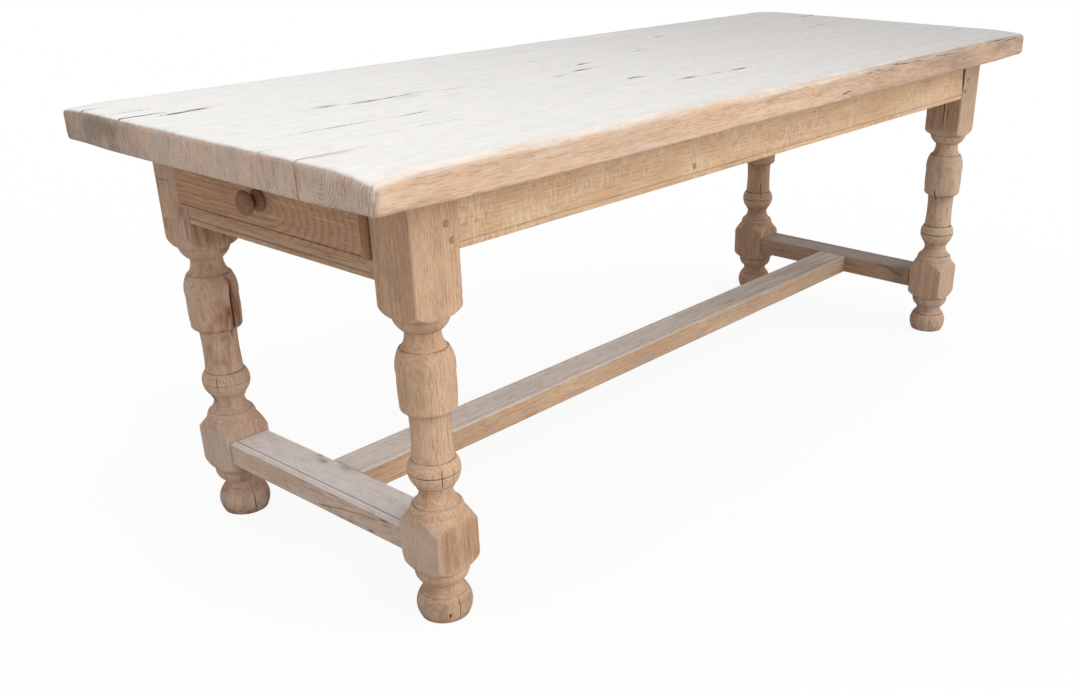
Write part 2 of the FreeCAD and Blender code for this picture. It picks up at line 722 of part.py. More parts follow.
def long_apron(label, side_y):
    play = size.fit_clear
    along = (-leg_inner_x, leg_inner_x)
    board = slab(along, on_side(side_y, apron_back_y, apron_face_y), (apron_low, leg_top))
    tenons = [slab(*long_tenon(side_x, side_y, ZERO)) for side_x in (-1, 1)]
    line_low = apron_low + size.apron_bead
    cuts = [slab(along, on_side(side_y, apron_face_y - size.board_score_depth, apron_face_y),
                 (line_low, line_low + size.score_width))]
    cuts += [slab(*long_button_slot(x, side_y, play)) for x in button_places_long()]
    cuts += [slab(*cross_end(side_y, play)), cross_peg(side_y, play)]
    cuts += [guide_nail(x, side_y, play) for x in guide_nail_places()]
    cuts += [leg_peg(place, play) for side_x in (-1, 1) for place in leg_peg_places(side_x, side_y)]
    return sub_part(label, carved(joined([board] + tenons), cuts))


def end_apron():
    play = size.fit_clear
    board = slab((apron_back_x, apron_face_x), (-leg_inner_y, leg_inner_y), (apron_low, leg_top))
    tenons = [slab(*end_tenon(side_y, ZERO)) for side_y in (-1, 1)]
    line_low = apron_low + size.apron_bead
    cuts = [slab((apron_face_x - size.board_score_depth, apron_face_x), (-leg_inner_y, leg_inner_y),
                 (line_low, line_low + size.score_width))]
    cuts += [slab(*end_button_slot(y, play)) for y in button_places_end()]
    cuts += [peg for side_y in (-1, 1) for peg in end_pegs(side_y, play)]
    return sub_part("end_apron", carved(joined([board] + tenons), cuts))


def runner_space(side_y, play):
    start = -rail_back_x - size.cross_housing
    end = cross_face_x + size.cross_housing
    return (grown((start, end), play),
            grown(on_side(side_y, runner_inner_y, drawer_outer_y), play),
            (runner_low - play, rail_top))


def drawer_rail():
    play = size.fit_clear
    board = slab((-apron_face_x, -rail_back_x), (-leg_inner_y, leg_inner_y), (rail_low, rail_top))
    tenons = [slab(*rail_tenon(side_y, ZERO)) for side_y in (-1, 1)]
    line_low = rail_low + size.apron_bead
    cuts = [slab((-apron_face_x, -apron_face_x + size.board_score_depth), (-leg_inner_y, leg_inner_y),
                 (line_low, line_low + size.score_width))]
    cuts += [slab(*runner_space(side_y, play)) for side_y in (-1, 1)]
    return sub_part("drawer_rail", carved(joined([board] + tenons), cuts))


# Cross rail: deep between the runners, cut up at both ends to the height of the aprons
def cross_rail():
    play = size.fit_clear
    ends = [slab(*cross_end(side_y, ZERO)) for side_y in (-1, 1)]
    high = leg_top - size.cross_top_gap
    arm = slab((cross_face_x, cross_back_x), (-apron_back_y, apron_back_y),
               (apron_low + size.tenon_low_shoulder, high))
    drop = slab((cross_face_x, cross_back_x), (-drawer_outer_y, drawer_outer_y),
                (runner_low - size.cross_lip, high))
    cuts = [slab(*runner_space(side_y, play)) for side_y in (-1, 1)]
    cuts += [cross_peg(side_y, play) for side_y in (-1, 1)]
    return sub_part("cross_rail", carved(joined([arm, drop] + ends), cuts))


def runner(label, side_y):
    return sub_part(label, slab(*runner_space(side_y, ZERO)))


def guide(label, side_y):
    low = rail_top + size.guide_rise
    bar = slab((-leg_inner_x, cross_face_x), on_side(side_y, drawer_outer_y + size.guide_gap, apron_back_y),
               (low, low + size.guide_height))
    cuts = [guide_nail(x, side_y, size.fit_clear) for x in guide_nail_places()]
    return sub_part(label, carved(bar, cuts))


# Stretchers: flat bars with a line scored beside the edges that show
def end_stretcher(label, side_x):
    half = size.stretcher_width * 0.5
    across = on_side(side_x, leg_centre_x - half, leg_centre_x + half)
    along = (-leg_inner_y, leg_inner_y)
    bar = slab(across, along, (stretcher_low, stretcher_high))
    tenons = [slab(*stretcher_tenon(side_x, side_y, ZERO)) for side_y in (-1, 1)]
    line = leg_centre_x + half - size.stretcher_bead
    cuts = [slab(on_side(side_x, line - size.score_width, line), along,
                 (stretcher_high - size.board_score_depth, stretcher_high)),
            slab(*centre_tenon(side_x, size.fit_clear))]
    return sub_part(label, carved(joined([bar] + tenons), cuts))


def centre_stretcher():
    half = size.stretcher_width * 0.5
    along = (-leg_centre_x + half, leg_centre_x - half)
    bar = slab(along, (-half, half), (stretcher_low, stretcher_high))
    tenons = [slab(*centre_tenon(side_x, ZERO)) for side_x in (-1, 1)]
    line = half - size.stretcher_bead
    cuts = [slab(along, on_side(side_y, line - size.score_width, line),
                 (stretcher_high - size.board_score_depth, stretcher_high)) for side_y in (-1, 1)]
    return sub_part("centre_stretcher", carved(joined([bar] + tenons), cuts))


# Buttons hook under the aprons and are screwed up into the top
def long_button(x, side_y):
    half = size.button_width * 0.5
    block = slab((x - half, x + half), on_side(side_y, apron_back_y - size.button_length, apron_back_y),
                 (button_top, leg_top))
    return joined([block, slab(*long_button_slot(x, side_y, ZERO))])


def end_button(y):
    half = size.button_width * 0.5
    reach = (apron_back_x - size.button_length, apron_back_x)
    block = slab(reach, (y - half, y + half), (button_top, leg_top))
    return joined([block, slab(*end_button_slot(y, ZERO))])


def button_screw_places():
    half = size.button_length * 0.5
    places = [(x, (apron_back_y - half) * side_y) for side_y in (-1, 1) for x in button_places_long()]
    return places + [(apron_back_x - half, y) for y in button_places_end()]


def buttons():
    blocks = [long_button(x, side_y) for side_y in (-1, 1) for x in button_places_long()]
    blocks += [end_button(y) for y in button_places_end()]
    drilled = [carved(block, screw_hole(x, y, button_top, leg_top))
               for block, (x, y) in zip(blocks, button_screw_places())]
    sub_part("top_buttons", grouped(drilled))
    sub_part("button_screws", grouped([screw(x, y, button_top, leg_top + size.screw_bite)
                                       for x, y in button_screw_places()]))


# Drawer
def knob_height():
    return (drawer_front_low + drawer_front_high) * 0.5


def drawer_groove(play):
    return (drawer_front_back_x - size.bottom_groove, drawer_end_x + play)


def drawer_brad_places():
    front_x = drawer_side_start_x + (drawer_front_back_x - drawer_side_start_x) * 0.5
    back_x = drawer_end_x - size.back_thick * 0.5
    low = bottom_high + size.brad_inset
    high = drawer_side_high - size.brad_inset
    return [(x, z) for x in (front_x, back_x) for z in (low, high)]


def brad(place, side_y, play):
    low, high = on_side(side_y, drawer_outer_y - size.brad_length - play, drawer_outer_y)
    return rod(size.brad_radius + play, "y", low, high, place)


def bottom_space(play):
    half = drawer_inner_y + size.bottom_groove - size.fit_clear * 2
    return (drawer_groove(play), grown((-half, half), play), grown((bottom_low, bottom_high), play))


def drawer_front():
    play = size.fit_clear
    board = slab((drawer_face_x, drawer_front_back_x), (-drawer_outer_y, drawer_outer_y),
                 (drawer_front_low, drawer_front_high))
    rebates = [slab((drawer_side_start_x - play, drawer_front_back_x),
                    on_side(side_y, drawer_inner_y - play, drawer_outer_y),
                    (drawer_front_low, drawer_front_high)) for side_y in (-1, 1)]
    line_low = drawer_front_low + size.front_bead
    line = slab((drawer_face_x, drawer_face_x + size.board_score_depth), (-drawer_outer_y, drawer_outer_y),
                (line_low, line_low + size.score_width))
    bore = rod(size.spigot_radius + play, "x", drawer_face_x, drawer_front_back_x, (ZERO, knob_height()))
    brads = [brad(place, side_y, play) for side_y in (-1, 1) for place in drawer_brad_places()]
    groove = slab(*bottom_space(play))
    return sub_part("drawer_front", carved(board, rebates + [line, bore, groove] + brads))


def drawer_side(label, side_y):
    play = size.fit_clear
    board = slab((drawer_side_start_x, drawer_end_x), on_side(side_y, drawer_inner_y, drawer_outer_y),
                 (drawer_side_low, drawer_side_high))
    brads = [brad(place, side_y, play) for place in drawer_brad_places()]
    return sub_part(label, carved(board, [slab(*bottom_space(play))] + brads))


def drawer_back():
    play = size.fit_clear
    board = slab((drawer_back_face_x, drawer_end_x), (-drawer_inner_y, drawer_inner_y),
                 (bottom_high, drawer_side_high))
    brads = [brad(place, side_y, play) for side_y in (-1, 1) for place in drawer_brad_places()]
    return sub_part("drawer_back", carved(board, brads))


def drawer_knob():
    outline = [
        (ZERO, -size.front_thick, 0),
        (size.spigot_radius, -size.front_thick, 0),
        (size.spigot_radius, ZERO, 0),
        (size.knob_base_radius, ZERO, SOFT_ROUND),
        (size.knob_flange_radius, size.knob_flange_height, SOFT_ROUND),
        (size.knob_waist_radius, size.knob_waist_height, SOFT_ROUND),
        (size.knob_head_radius, size.knob_head_height, SOFT_ROUND),
        (size.knob_rim_radius, size.knob_length, 0),
        (ZERO, size.knob_length, 0),
    ]
    knob = turned("KnobTurning", outline)
    knob.Placement = Placement(Vector(), Rotation(Vector(0, 1, 0), -90))
    put_at(knob, drawer_face_x, ZERO, knob_height())
    return sub_part("drawer_knob", knob)


def drawer():
    drawer_front()
    for label, side_y in (("drawer_side_front", -1), ("drawer_side_back", 1)):
        drawer_side(label, side_y)
    drawer_back()
    sub_part("drawer_bottom", slab(*bottom_space(ZERO)))
    drawer_knob()
    sub_part("drawer_nails", grouped([brad(place, side_y, ZERO) for side_y in (-1, 1)
                                      for place in drawer_brad_places()]))


# Assembly
def frame():
    corners = (("leg_near", -1, -1), ("leg_left", -1, 1), ("leg_right", 1, -1), ("leg_far", 1, 1))
    for label, side_x, side_y in corners:
        leg(label, side_x, side_y)
    for label, side_y in (("front_apron", -1), ("back_apron", 1)):
        long_apron(label, side_y)
    end_apron()
    drawer_rail()
    cross_rail()
    for label, side_y in (("front", -1), ("back", 1)):
        runner(f"drawer_runner_{label}", side_y)
        guide(f"drawer_guide_{label}", side_y)
    end_stretcher("near_stretcher", -1)
    end_stretcher("far_stretcher", 1)
    centre_stretcher()
    sub_part("leg_patch", slab(*patch_space(ZERO)))
    sub_part("apron_pegs", grouped(leg_pegs(ZERO) + end_pegs(-1, ZERO) + end_pegs(1, ZERO)))
    sub_part("cross_rail_pegs", grouped([cross_peg(side_y, ZERO) for side_y in (-1, 1)]))
    sub_part("guide_nails", grouped([guide_nail(x, side_y, ZERO) for side_y in (-1, 1)
                                     for x in guide_nail_places()]))
    buttons()
    table_top(button_screw_places())


def check_document():
    failed = [thing.Name for thing in doc.Objects if {"Invalid", "Error"} & set(thing.State)]
    if failed:
        raise RuntimeError("failed: " + ", ".join(failed))
    for thing in sub_parts:
        if thing.Shape.isNull() or not thing.Shape.isValid() or not thing.Shape.Solids:
            raise RuntimeError("no valid shape: " + thing.Label)


frame()
drawer()
doc.recompute()
check_document()
os.makedirs("parts", exist_ok=True)
for thing in sub_parts:
    thing.Shape.exportStep(f"parts/{thing.Label}.step")
    print(thing.Label, len(thing.Shape.Solids), round(thing.Shape.Volume / 1000, 2), "cm3")
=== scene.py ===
import bpy
import itertools
import numpy as np
from mathutils import Matrix
from types import SimpleNamespace


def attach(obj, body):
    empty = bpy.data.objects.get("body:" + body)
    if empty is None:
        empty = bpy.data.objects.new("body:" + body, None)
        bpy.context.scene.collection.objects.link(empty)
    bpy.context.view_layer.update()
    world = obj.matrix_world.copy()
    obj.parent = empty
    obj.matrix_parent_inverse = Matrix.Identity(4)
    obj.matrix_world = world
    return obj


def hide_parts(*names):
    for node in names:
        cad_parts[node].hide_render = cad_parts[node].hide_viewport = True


# A stripped oak refectory table: worn planks, turned legs, an H stretcher and a drawer in one end.
# Metres throughout, X along the table, Z up; the drawer is at the low X end.
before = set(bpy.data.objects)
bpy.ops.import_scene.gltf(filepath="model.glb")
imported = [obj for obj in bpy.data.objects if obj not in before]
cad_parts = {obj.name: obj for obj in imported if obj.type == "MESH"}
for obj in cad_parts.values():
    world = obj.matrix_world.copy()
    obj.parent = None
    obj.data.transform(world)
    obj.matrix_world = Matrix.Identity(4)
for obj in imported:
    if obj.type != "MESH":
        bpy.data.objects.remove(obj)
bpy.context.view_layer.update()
print("frame loaded:", len(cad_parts), "nodes")

mm = 0.001


# Number noise and small shape helpers
# Smooth noise from -1 to 1: random values at the corners of cells, blended across each cell
def cellNoise(points, cell, seed):
    scaled = np.asarray(points, float) / np.asarray(cell, float)
    base = np.floor(scaled).astype(np.int64)
    part = scaled - base
    part = part * part * (3 - 2 * part)
    total = np.zeros(len(scaled))
    for corner in np.ndindex(2, 2, 2):
        weight = np.prod(np.where(np.array(corner) == 1, part, 1 - part), axis=1)
        total += weight * cellValue(base + corner, seed)
    return total


def cellValue(cells, seed):
    mixed = cells @ np.array([73856093, 19349663, 83492791], np.int64) + seed * 40503
    mixed = (mixed ^ (mixed >> 15)) * 2246822519
    mixed = (mixed ^ (mixed >> 13)) * 3266489917
    return ((mixed >> 8) & 0xFFFF) / 32767.5 - 1


# Two layers of that noise, the second finer and weaker
def roughNoise(points, cell, seed):
    return (cellNoise(points, cell, seed) + 0.5 * cellNoise(points, np.asarray(cell) / 2.7, seed + 50)) / 1.5


# Rises smoothly from 0 at low to 1 at high
def smoothStep(low, high, value):
    part = np.clip((value - low) / (high - low), 0, 1)
    return part * part * (3 - 2 * part)


# 1 between low and high, falling smoothly to 0 at both ends over a soft width
def within(low, high, soft, value):
    return smoothStep(low, low + soft, value) * smoothStep(-high, -high + soft, -value)


# A bump of height 1 at 0 that has fallen to a third at one width
def bump(distance, width):
    return np.exp(-(distance / width) ** 2)


def unitRows(rows):
    return rows / np.maximum(np.linalg.norm(rows, axis=1, keepdims=True), 1e-12)


# Makes a mesh object out of arrays, with smooth faces and its point attributes
def makePiece(name, points, faces, attributes, body, nodes, slot, material):
    mesh = bpy.data.meshes.new(name)
    mesh.from_pydata(points.tolist(), [], faces)
    mesh.polygons.foreach_set("use_smooth", np.ones(len(faces), bool))
    for key, values in attributes.items():
        layer = mesh.attributes.new(key, "FLOAT", "POINT")
        layer.data.foreach_set("value", np.asarray(values, np.float32))
    mesh.materials.append(material)
    mesh.update()
    piece = bpy.data.objects.new(name, mesh)
    bpy.context.scene.collection.objects.link(piece)
    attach(piece, body)
    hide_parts(*nodes)
    return piece


# Several shells as one set of arrays
def joinShells(shells):
    points = np.concatenate([shell[0] for shell in shells])
    starts = np.cumsum([0] + [len(shell[0]) for shell in shells[:-1]])
    faces = [[number + int(start) for number in face]
             for shell, start in zip(shells, starts) for face in shell[1]]
    attributes = {key: np.concatenate([shell[2][key] for shell in shells]) for key in shells[0][2]}
    return points, faces, attributes


# Worn boards
# Lines across a board: close together within the rounded edges and around given places (each with the
# width of what is cut there), even elsewhere
def gridLines(low, high, step, edge, extra=()):
    nearEdge = edge * np.array([0, 0.12, 0.28, 0.48, 0.72, 1.0, 1.5])
    middle = np.linspace(low, high, max(3, int((high - low) / step) + 1))
    middle = middle[(middle > low + 1.8 * edge) & (middle < high - 1.8 * edge)]
    spread = np.array([-2.6, -1.5, -1.1, -0.8, -0.4, 0, 0.4, 0.8, 1.1, 1.5, 2.6])
    clusters = [place + width * spread for place, width in extra]
    lines = np.sort(np.concatenate([low + nearEdge, middle, high - nearEdge, *clusters]))
    lines = lines[(lines >= low) & (lines <= high)]
    keep = np.concatenate([[True], np.diff(lines) > 0.12 * mm])
    lines = lines[keep]
    lines[0], lines[-1] = low, high
    return lines


# The six sides of a box as one closed lattice: each lattice point once, and the quads between them
def boxShell(lines):
    counts = [len(line) for line in lines]
    cells = np.indices(counts).reshape(3, -1).T
    last = np.array(counts) - 1
    onShell = ((cells == 0) | (cells == last)).any(1)
    number = np.full(len(cells), -1)
    number[onShell] = np.arange(onShell.sum())
    number = number.reshape(counts)
    points = np.stack([lines[axis][cells[onShell, axis]] for axis in range(3)], 1)
    quads = []
    for axis in range(3):
        for side in (0, -1):
            sheet = np.moveaxis(number, axis, 0)[side]
            if axis == 1:
                sheet = sheet.T
            ring = [sheet[:-1, :-1], sheet[1:, :-1], sheet[1:, 1:], sheet[:-1, 1:]]
            if side == 0:
                ring = ring[::-1]
            quads.append(np.stack([part.ravel() for part in ring], 1))
    return points, np.concatenate(quads)


# Rounds the box: a point within a side's radius of that side moves onto the ellipsoid that fits the
# corner; where the radius is nothing the edge stays square
def roundBox(points, low, high, lowRadius, highRadius):
    core = np.clip(points, low + lowRadius, high - highRadius)
    radius = np.where(points < core, lowRadius, highRadius)
    radius = np.maximum(radius, 1e-9)
    unit = unitRows((points - core) / radius)
    return core + radius * unit, unitRows(unit / radius)


# A board between two corners. The settings give the grid's steps, the radius of the edges, the
# direction of the grain, how deep the surface is worn, and the grooves and cracks cut into it;
# everything lies inside the corners.
def wornBoard(low, high, board):
    low, high = np.array(low, float), np.array(high, float)
    edges = np.broadcast_to(board.get("edge", 3 * mm), 3)
    extra = board.get("lines", ((), (), ()))
    lines = [gridLines(low[a], high[a], board["steps"][a], edges[a], extra[a]) for a in range(3)]
    points, quads = boxShell(lines)
    if "bend" in board:
        points = board["bend"](points)
    lowRadius, highRadius = board["radii"](points) if "radii" in board else (edges, edges)
    points, normals = roundBox(points, low, high, lowRadius, highRadius)
    uneven = 0.55 + 0.45 * roughNoise(points, board.get("wearCell", 0.05), board["seed"])
    depth = board.get("wear", 0.4 * mm) * uneven
    dirt = np.zeros(len(points))
    for cut in board.get("cuts", ()):
        cutDepth, cutDirt = cut(points, normals)
        depth = depth + cutDepth
        dirt = np.maximum(dirt, cutDirt)
    attributes = surfaceMarks(normals, board["along"], dirt)
    if "marks" in board:
        attributes.update(board["marks"](points, normals))
    points = points - normals * depth[:, None]
    if "reshape" in board:
        points = board["reshape"](points)
    return points, quads.tolist(), attributes


# What the finish reads: how far a point is bleached, is end grain, is a rubbed edge, carries dirt and
# painted shade, and carries stain and painted shade
def surfaceMarks(normals, along, dirt):
    return {
        "bleached": smoothStep(0.25, 0.95, normals[:, 2]),
        "endGrain": smoothStep(0.55, 0.95, np.abs(normals[:, along])),
        "rubbed": smoothStep(0.06, 0.26, 1 - np.abs(normals).max(1)),
        "dirt": np.clip(dirt, 0, 1),
        "stain": np.zeros(len(normals)),
    }


# A straight groove on one side: axis and sign of the side, the axis across the groove and its place there
def groove(side, sign, across, place, width, depth, strength=0.85):
    def cut(points, normals):
        facing = smoothStep(0.3, 0.9, sign * normals[:, side])
        shape = bump(points[:, across] - place, width) * facing
        return depth * shape, strength * shape
    return cut


def sortedPath(path):
    path = np.array(path, float)
    return path[np.argsort(path[:, 0])]


# A crack on one side that follows a path: along and across give its two axes, the path its points. It
# tapers to both ends, has steep sides that are dark from the lip down, and wanders a little about the
# path.
def crack(side, sign, along, across, path, width, depth, seed, strength=1.0):
    path = sortedPath(path)

    def cut(points, normals):
        facing = smoothStep(0.3, 0.9, sign * normals[:, side])
        place = points[:, along]
        middle = np.interp(place, path[:, 0], path[:, 1])
        wander = np.stack([place, np.full_like(place, seed * 1.7), np.zeros_like(place)], 1)
        middle = middle + 0.35 * width * cellNoise(wander, 0.02, seed)
        start, end = path[0, 0], path[-1, 0]
        taper = within(start, end, 0.25 * (end - start), place)
        opening = width * np.maximum(taper * (0.7 + 0.3 * cellNoise(wander + 3, 0.03, seed + 9)), 0.12)
        apart = np.abs(points[:, across] - middle) / opening
        shape = np.exp(-apart ** 4) * facing * smoothStep(0, 0.3, taper)
        shade = np.clip(0.72 + 0.5 * cellNoise(wander + 7, 0.035, seed + 4), 0.25, 1)
        dark = np.exp(-(apart / 1.5) ** 4) * facing * smoothStep(0, 0.2, taper) * shade
        smudge = 0.16 * np.exp(-(apart / 3) ** 2) * facing * taper
        return depth * shape, strength * np.maximum(dark, smudge)
    return cut


# Lines of a lattice bent to run along cracks: near a crack's mean place they follow its path
def followCracks(along, across, paths, reach=14 * mm):
    def bend(points):
        moved = points.copy()
        for path in paths:
            path = sortedPath(path)
            mean = path[:, 1].mean()
            shift = np.interp(points[:, along], path[:, 0], path[:, 1]) - mean
            near = np.clip(1 - ((points[:, across] - mean) / reach) ** 2, 0, 1) ** 2
            moved[:, across] += np.clip(shift, -0.6 * reach, 0.6 * reach) * near
        return moved
    return bend


# Shader wiring
# A value in a node tree. Sums on values add Math nodes; any other node comes from the node method
class Wire:
    def __init__(self, tree, socket):
        self.tree = tree
        self.socket = socket

    def node(self, kind, settings, inputs, out=0):
        made = self.tree.nodes.new(kind)
        for key, value in settings.items():
            if key == "stops":
                setStops(made.color_ramp, value)
            else:
                setattr(made, key, value)
        for key, value in inputs.items():
            if isinstance(value, Wire):
                self.tree.links.new(value.socket, made.inputs[key])
            else:
                made.inputs[key].default_value = value
        return Wire(self.tree, made.outputs[out])

    def feed(self, shader, wires):
        for key, wire in wires.items():
            self.tree.links.new(wire.socket, shader.inputs[key])

    def math(self, operation, first, second=0.0, third=0.0):
        return self.node("ShaderNodeMath", {"operation": operation}, {0: first, 1: second, 2: third})

    def __add__(self, other):
        return self.math("ADD", self, other)

    def __sub__(self, other):
        return self.math("SUBTRACT", self, other)

    def __rsub__(self, other):
        return self.math("SUBTRACT", other, self)

    def __mul__(self, other):
        return self.math("MULTIPLY", self, other)

    def __truediv__(self, other):
        return self.math("DIVIDE", self, other)

    def __pow__(self, other):
        return self.math("POWER", self, other)

    __radd__ = __add__
    __rmul__ = __mul__

    def fraction(self):
        return self.math("FRACT", self)

    def between(self, low, high):
        settings = {"interpolation_type": "SMOOTHSTEP"}
        return self.node("ShaderNodeMapRange", settings, {"Value": self, "From Min": low, "From Max": high})

    def blend(self, first, second, mode="MIX"):
        settings = {"data_type": "RGBA", "blend_type": mode}
        return self.node("ShaderNodeMix", settings, {0: self, 6: first, 7: second}, 2)


def setStops(ramp, stops):
    while len(ramp.elements) < len(stops):
        ramp.elements.new(0.5)
    for element, (place, value) in zip(ramp.elements, stops):
        element.position = place
        element.color = (value, value, value, 1)


# A new material, its shader and a wire to start from
def newMaterial(name):
    material = bpy.data.materials.new(name)
    material.use_nodes = True
    tree = material.node_tree
    return material, tree.nodes["Principled BSDF"], Wire(tree, None)


# A colour as it shows on screen, 0 to 255, made linear
def shown(red, green, blue):
    parts = np.array([red, green, blue]) / 255
    linear = np.where(parts <= 0.04045, parts / 12.92, ((parts + 0.055) / 1.055) ** 2.4)
    return (*linear.tolist(), 1.0)


# How oak looks where a piece says nothing else: tones as they show on screen, sizes in metres, noise scales
# per metre, and shares from 0 to 1
oakLook = {
    "light": shown(212, 180, 150), "deep": shown(194, 160, 130), "dark": shown(132, 98, 74),
    "grey": shown(182, 160, 144), "warm": shown(204, 160, 124), "worn": shown(226, 200, 172),
    "pale": shown(222, 212, 202), "paleGrey": shown(200, 190, 180), "greyLine": shown(150, 140, 130),
    "endColour": shown(176, 154, 134), "stained": shown(140, 132, 126), "crack": shown(44, 32, 24),
    "ring": 3 * mm, "ringWander": 1.6, "ringRipple": 0.3, "tilt": (0.0, 0.0), "drift": 9 * mm,
    "driftAlong": 3.0, "lineAlong": 9.0, "lineAcross": 260.0, "poreScale": (48.0, 460.0),
    "grain": 0.22, "line": 0.42, "pore": 0.55,
    "fleck": 0.2, "rays": 0.0, "tint": 0.5, "mottle": 0.45, "endShare": 0.6, "endRing": 0.25, "rub": 0.35,
    "relief": 0.55, "stainStreak": 0.65, "bleach": 0.0, "paleStreak": 0.3, "paleMottle": 0.25,
    "paleFleck": 0.0, "paleLine": 1.0,
}


# Noise drawn out along the grain: its scale along and across, and a shift that sets one noise apart
# from the next
def grainNoise(start, along, sides, seed):
    def noise(alongScale, acrossScale, shift, detail=2.0):
        vector = start.node("ShaderNodeCombineXYZ", {}, {
            0: along * alongScale + (seed + shift), 1: sides[0] * acrossScale, 2: sides[1] * acrossScale})
        return start.node("ShaderNodeTexNoise", {}, {
            "Vector": vector, "Scale": 1.0, "Detail": detail, "Roughness": 0.6})
    return noise


# Growth rings are shells about a pith line that runs along the grain, dark in the early wood
def oakRings(start, finish, along, sides, noise):
    tilt, apex = finish["tilt"]
    first, second = [side - pith for side, pith in zip(sides, finish["pith"])]
    first = first + start.math("MINIMUM", along - apex, 0.0) * tilt
    distance = (first * first + second * second) ** 0.5
    wander = noise(4.0, 30.0, 7) * finish["ringWander"] + noise(28.0, 90.0, 45) * finish["ringRipple"]
    rings = (distance / finish["ring"] + wander).fraction()
    stops = ((0, 0.9), (0.22, 0.45), (0.5, 0.1), (0.86, 0.05), (1, 0.9))
    return start.node("ShaderNodeValToRGB", {"stops": stops}, {"Fac": rings})


# Saw marks across the end grain
def sawMarks(start, sides, seed):
    vector = start.node("ShaderNodeCombineXYZ", {}, {0: seed + 37.0, 1: sides[0] * 230.0, 2: sides[1] * 34.0})
    marks = start.node("ShaderNodeTexNoise", {}, {
        "Vector": vector, "Scale": 1.0, "Detail": 3.0, "Roughness": 0.65})
    return marks.between(0.5, 0.68)


# The figure of the wood in three dimensions, and the marks that the mesh carries
def oakFigure(start, finish):
    place = start.node("ShaderNodeTexCoord", {}, {}, 3)
    axes = [start.node("ShaderNodeSeparateXYZ", {}, {0: place}, axis) for axis in range(3)]
    along = axes.pop(finish["along"])
    seed = finish["seed"]
    straight = grainNoise(start, along, axes, seed)
    # The grain drifts slowly to and fro about its direction
    drifts = [(straight(finish["driftAlong"], 7.0, shift) - 0.5) * finish["drift"] for shift in (0, 31)]
    sides = [side + drift for side, drift in zip(axes, drifts)]
    noise = grainNoise(start, along, sides, seed)
    marks = {key: start.node("ShaderNodeAttribute", {"attribute_name": key}, {}, 2)
             for key in ("bleached", "endGrain", "rubbed", "dirt", "stain")}
    alongSide = 1 - 0.8 * marks["endGrain"]
    early = oakRings(start, finish, along, sides, noise)
    lines = noise(finish["lineAlong"], finish["lineAcross"], 3, 3.0)
    pores = noise(*finish["poreScale"], 5).between(0.52, 0.66)
    rays = noise(190.0, 46.0, 23).between(0.48, 0.6) * noise(11.0, 16.0, 27, 3.0).between(0.4, 0.55)
    return SimpleNamespace(
        **marks, alongSide=alongSide, early=early, rays=rays, sawn=sawMarks(start, sides, seed),
        lines=0.5 + (lines - 0.5) * alongSide, pores=pores * (0.45 + 0.55 * early) * alongSide,
        flecks=noise(40.0, 190.0, 11).between(0.58, 0.72), cloud=noise(2.6, 7.0, 13, 3.0).between(0.32, 0.68),
        mottle=noise(24.0, 60.0, 17, 4.0).between(0.44, 0.72), streaks=noise(4.0, 80.0, 19, 3.0),
        tint=noise(7.0, 22.0, 29, 3.0).between(0.45, 0.68),
        endRings=noise(5.0, 38.0, 43, 3.0).between(0.42, 0.6))


# The bare wood: each layer lays one tone over the last by its share
def bareColour(wood, finish):
    colour = wood.cloud.blend(finish["light"], finish["deep"])
    ringed = finish["grain"] * wood.alongSide + wood.endGrain * finish["endRing"] * wood.endRings
    rubbed = wood.rubbed * (0.3 + 0.7 * wood.cloud) * (1 - wood.endGrain)
    layers = (
        (wood.endGrain * finish["endShare"], "endColour"), (wood.tint * finish["tint"], "warm"),
        (wood.mottle * finish["mottle"], "grey"), (wood.early * ringed, "dark"),
        (wood.sawn * wood.endGrain * 0.4, "dark"), (wood.flecks * finish["fleck"], "light"),
        (wood.lines.between(0.48, 0.72) * finish["line"], "dark"),
        (wood.lines.between(0.48, 0.28) * 0.35, "worn"),
        (wood.rays * finish["rays"], "worn"), (wood.pores * finish["pore"], "dark"),
        (rubbed * finish["rub"], "worn"),
    )
    for share, tone in layers:
        colour = share.blend(colour, finish[tone])
    return colour


# The bleached wood
def paleColour(wood, finish):
    pale = (wood.streaks.between(0.42, 0.75) * finish["paleStreak"]).blend(finish["pale"], finish["paleGrey"])
    pale = (wood.mottle * finish["paleMottle"]).blend(pale, finish["paleGrey"])
    pale = (wood.flecks * finish["paleFleck"]).blend(pale, finish["greyLine"])
    fine = wood.pores * 0.22 + wood.lines.between(0.56, 0.8) * 0.2
    return (fine * finish["paleLine"]).blend(pale, finish["greyLine"])


# Oak: bare wood, bleached where the mesh says so, then stains and dirt, which on the legs and knob also
# carry painted shade; pores and lines are cut in as relief
def oakFinish(name, **changes):
    finish = {**oakLook, **changes}
    material, shader, start = newMaterial(name)
    wood = oakFigure(start, finish)
    broken = (wood.streaks + wood.lines - 1) * (1.1 - wood.bleached)
    bleach = (wood.bleached + broken).between(0.0, 1.0) * finish["bleach"]
    colour = bleach.blend(bareColour(wood, finish), paleColour(wood, finish))
    streaky = finish["stainStreak"]
    # Stains darken towards the stained tone; on the legs this also paints shade under the blocks, in the
    # hollows and on shaded faces
    stain = wood.stain * (1 - streaky + streaky * wood.streaks.between(0.35, 0.6))
    colour = stain.blend(colour, finish["stained"])
    # Dirt darkens towards the crack tone; on the legs and knob this also paints shade in creases, scored
    # lines, the open joint and the knob's neck
    colour = (wood.dirt.between(0.08, 0.7) * 0.94).blend(colour, finish["crack"])
    height = wood.pores * -0.8 - wood.lines * 0.9 - wood.early * 0.35 - wood.mottle * 0.2
    height = height * (1 - 0.6 * bleach)
    relief = start.node("ShaderNodeBump", {}, {
        "Strength": finish["relief"], "Distance": 0.9 * mm, "Height": height})
    rough = 0.72 + wood.lines * 0.12 + wood.pores * 0.1
    start.feed(shader, {"Base Color": colour, "Roughness": rough, "Normal": relief})
    shader.inputs["Specular IOR Level"].default_value = 0.25
    return material


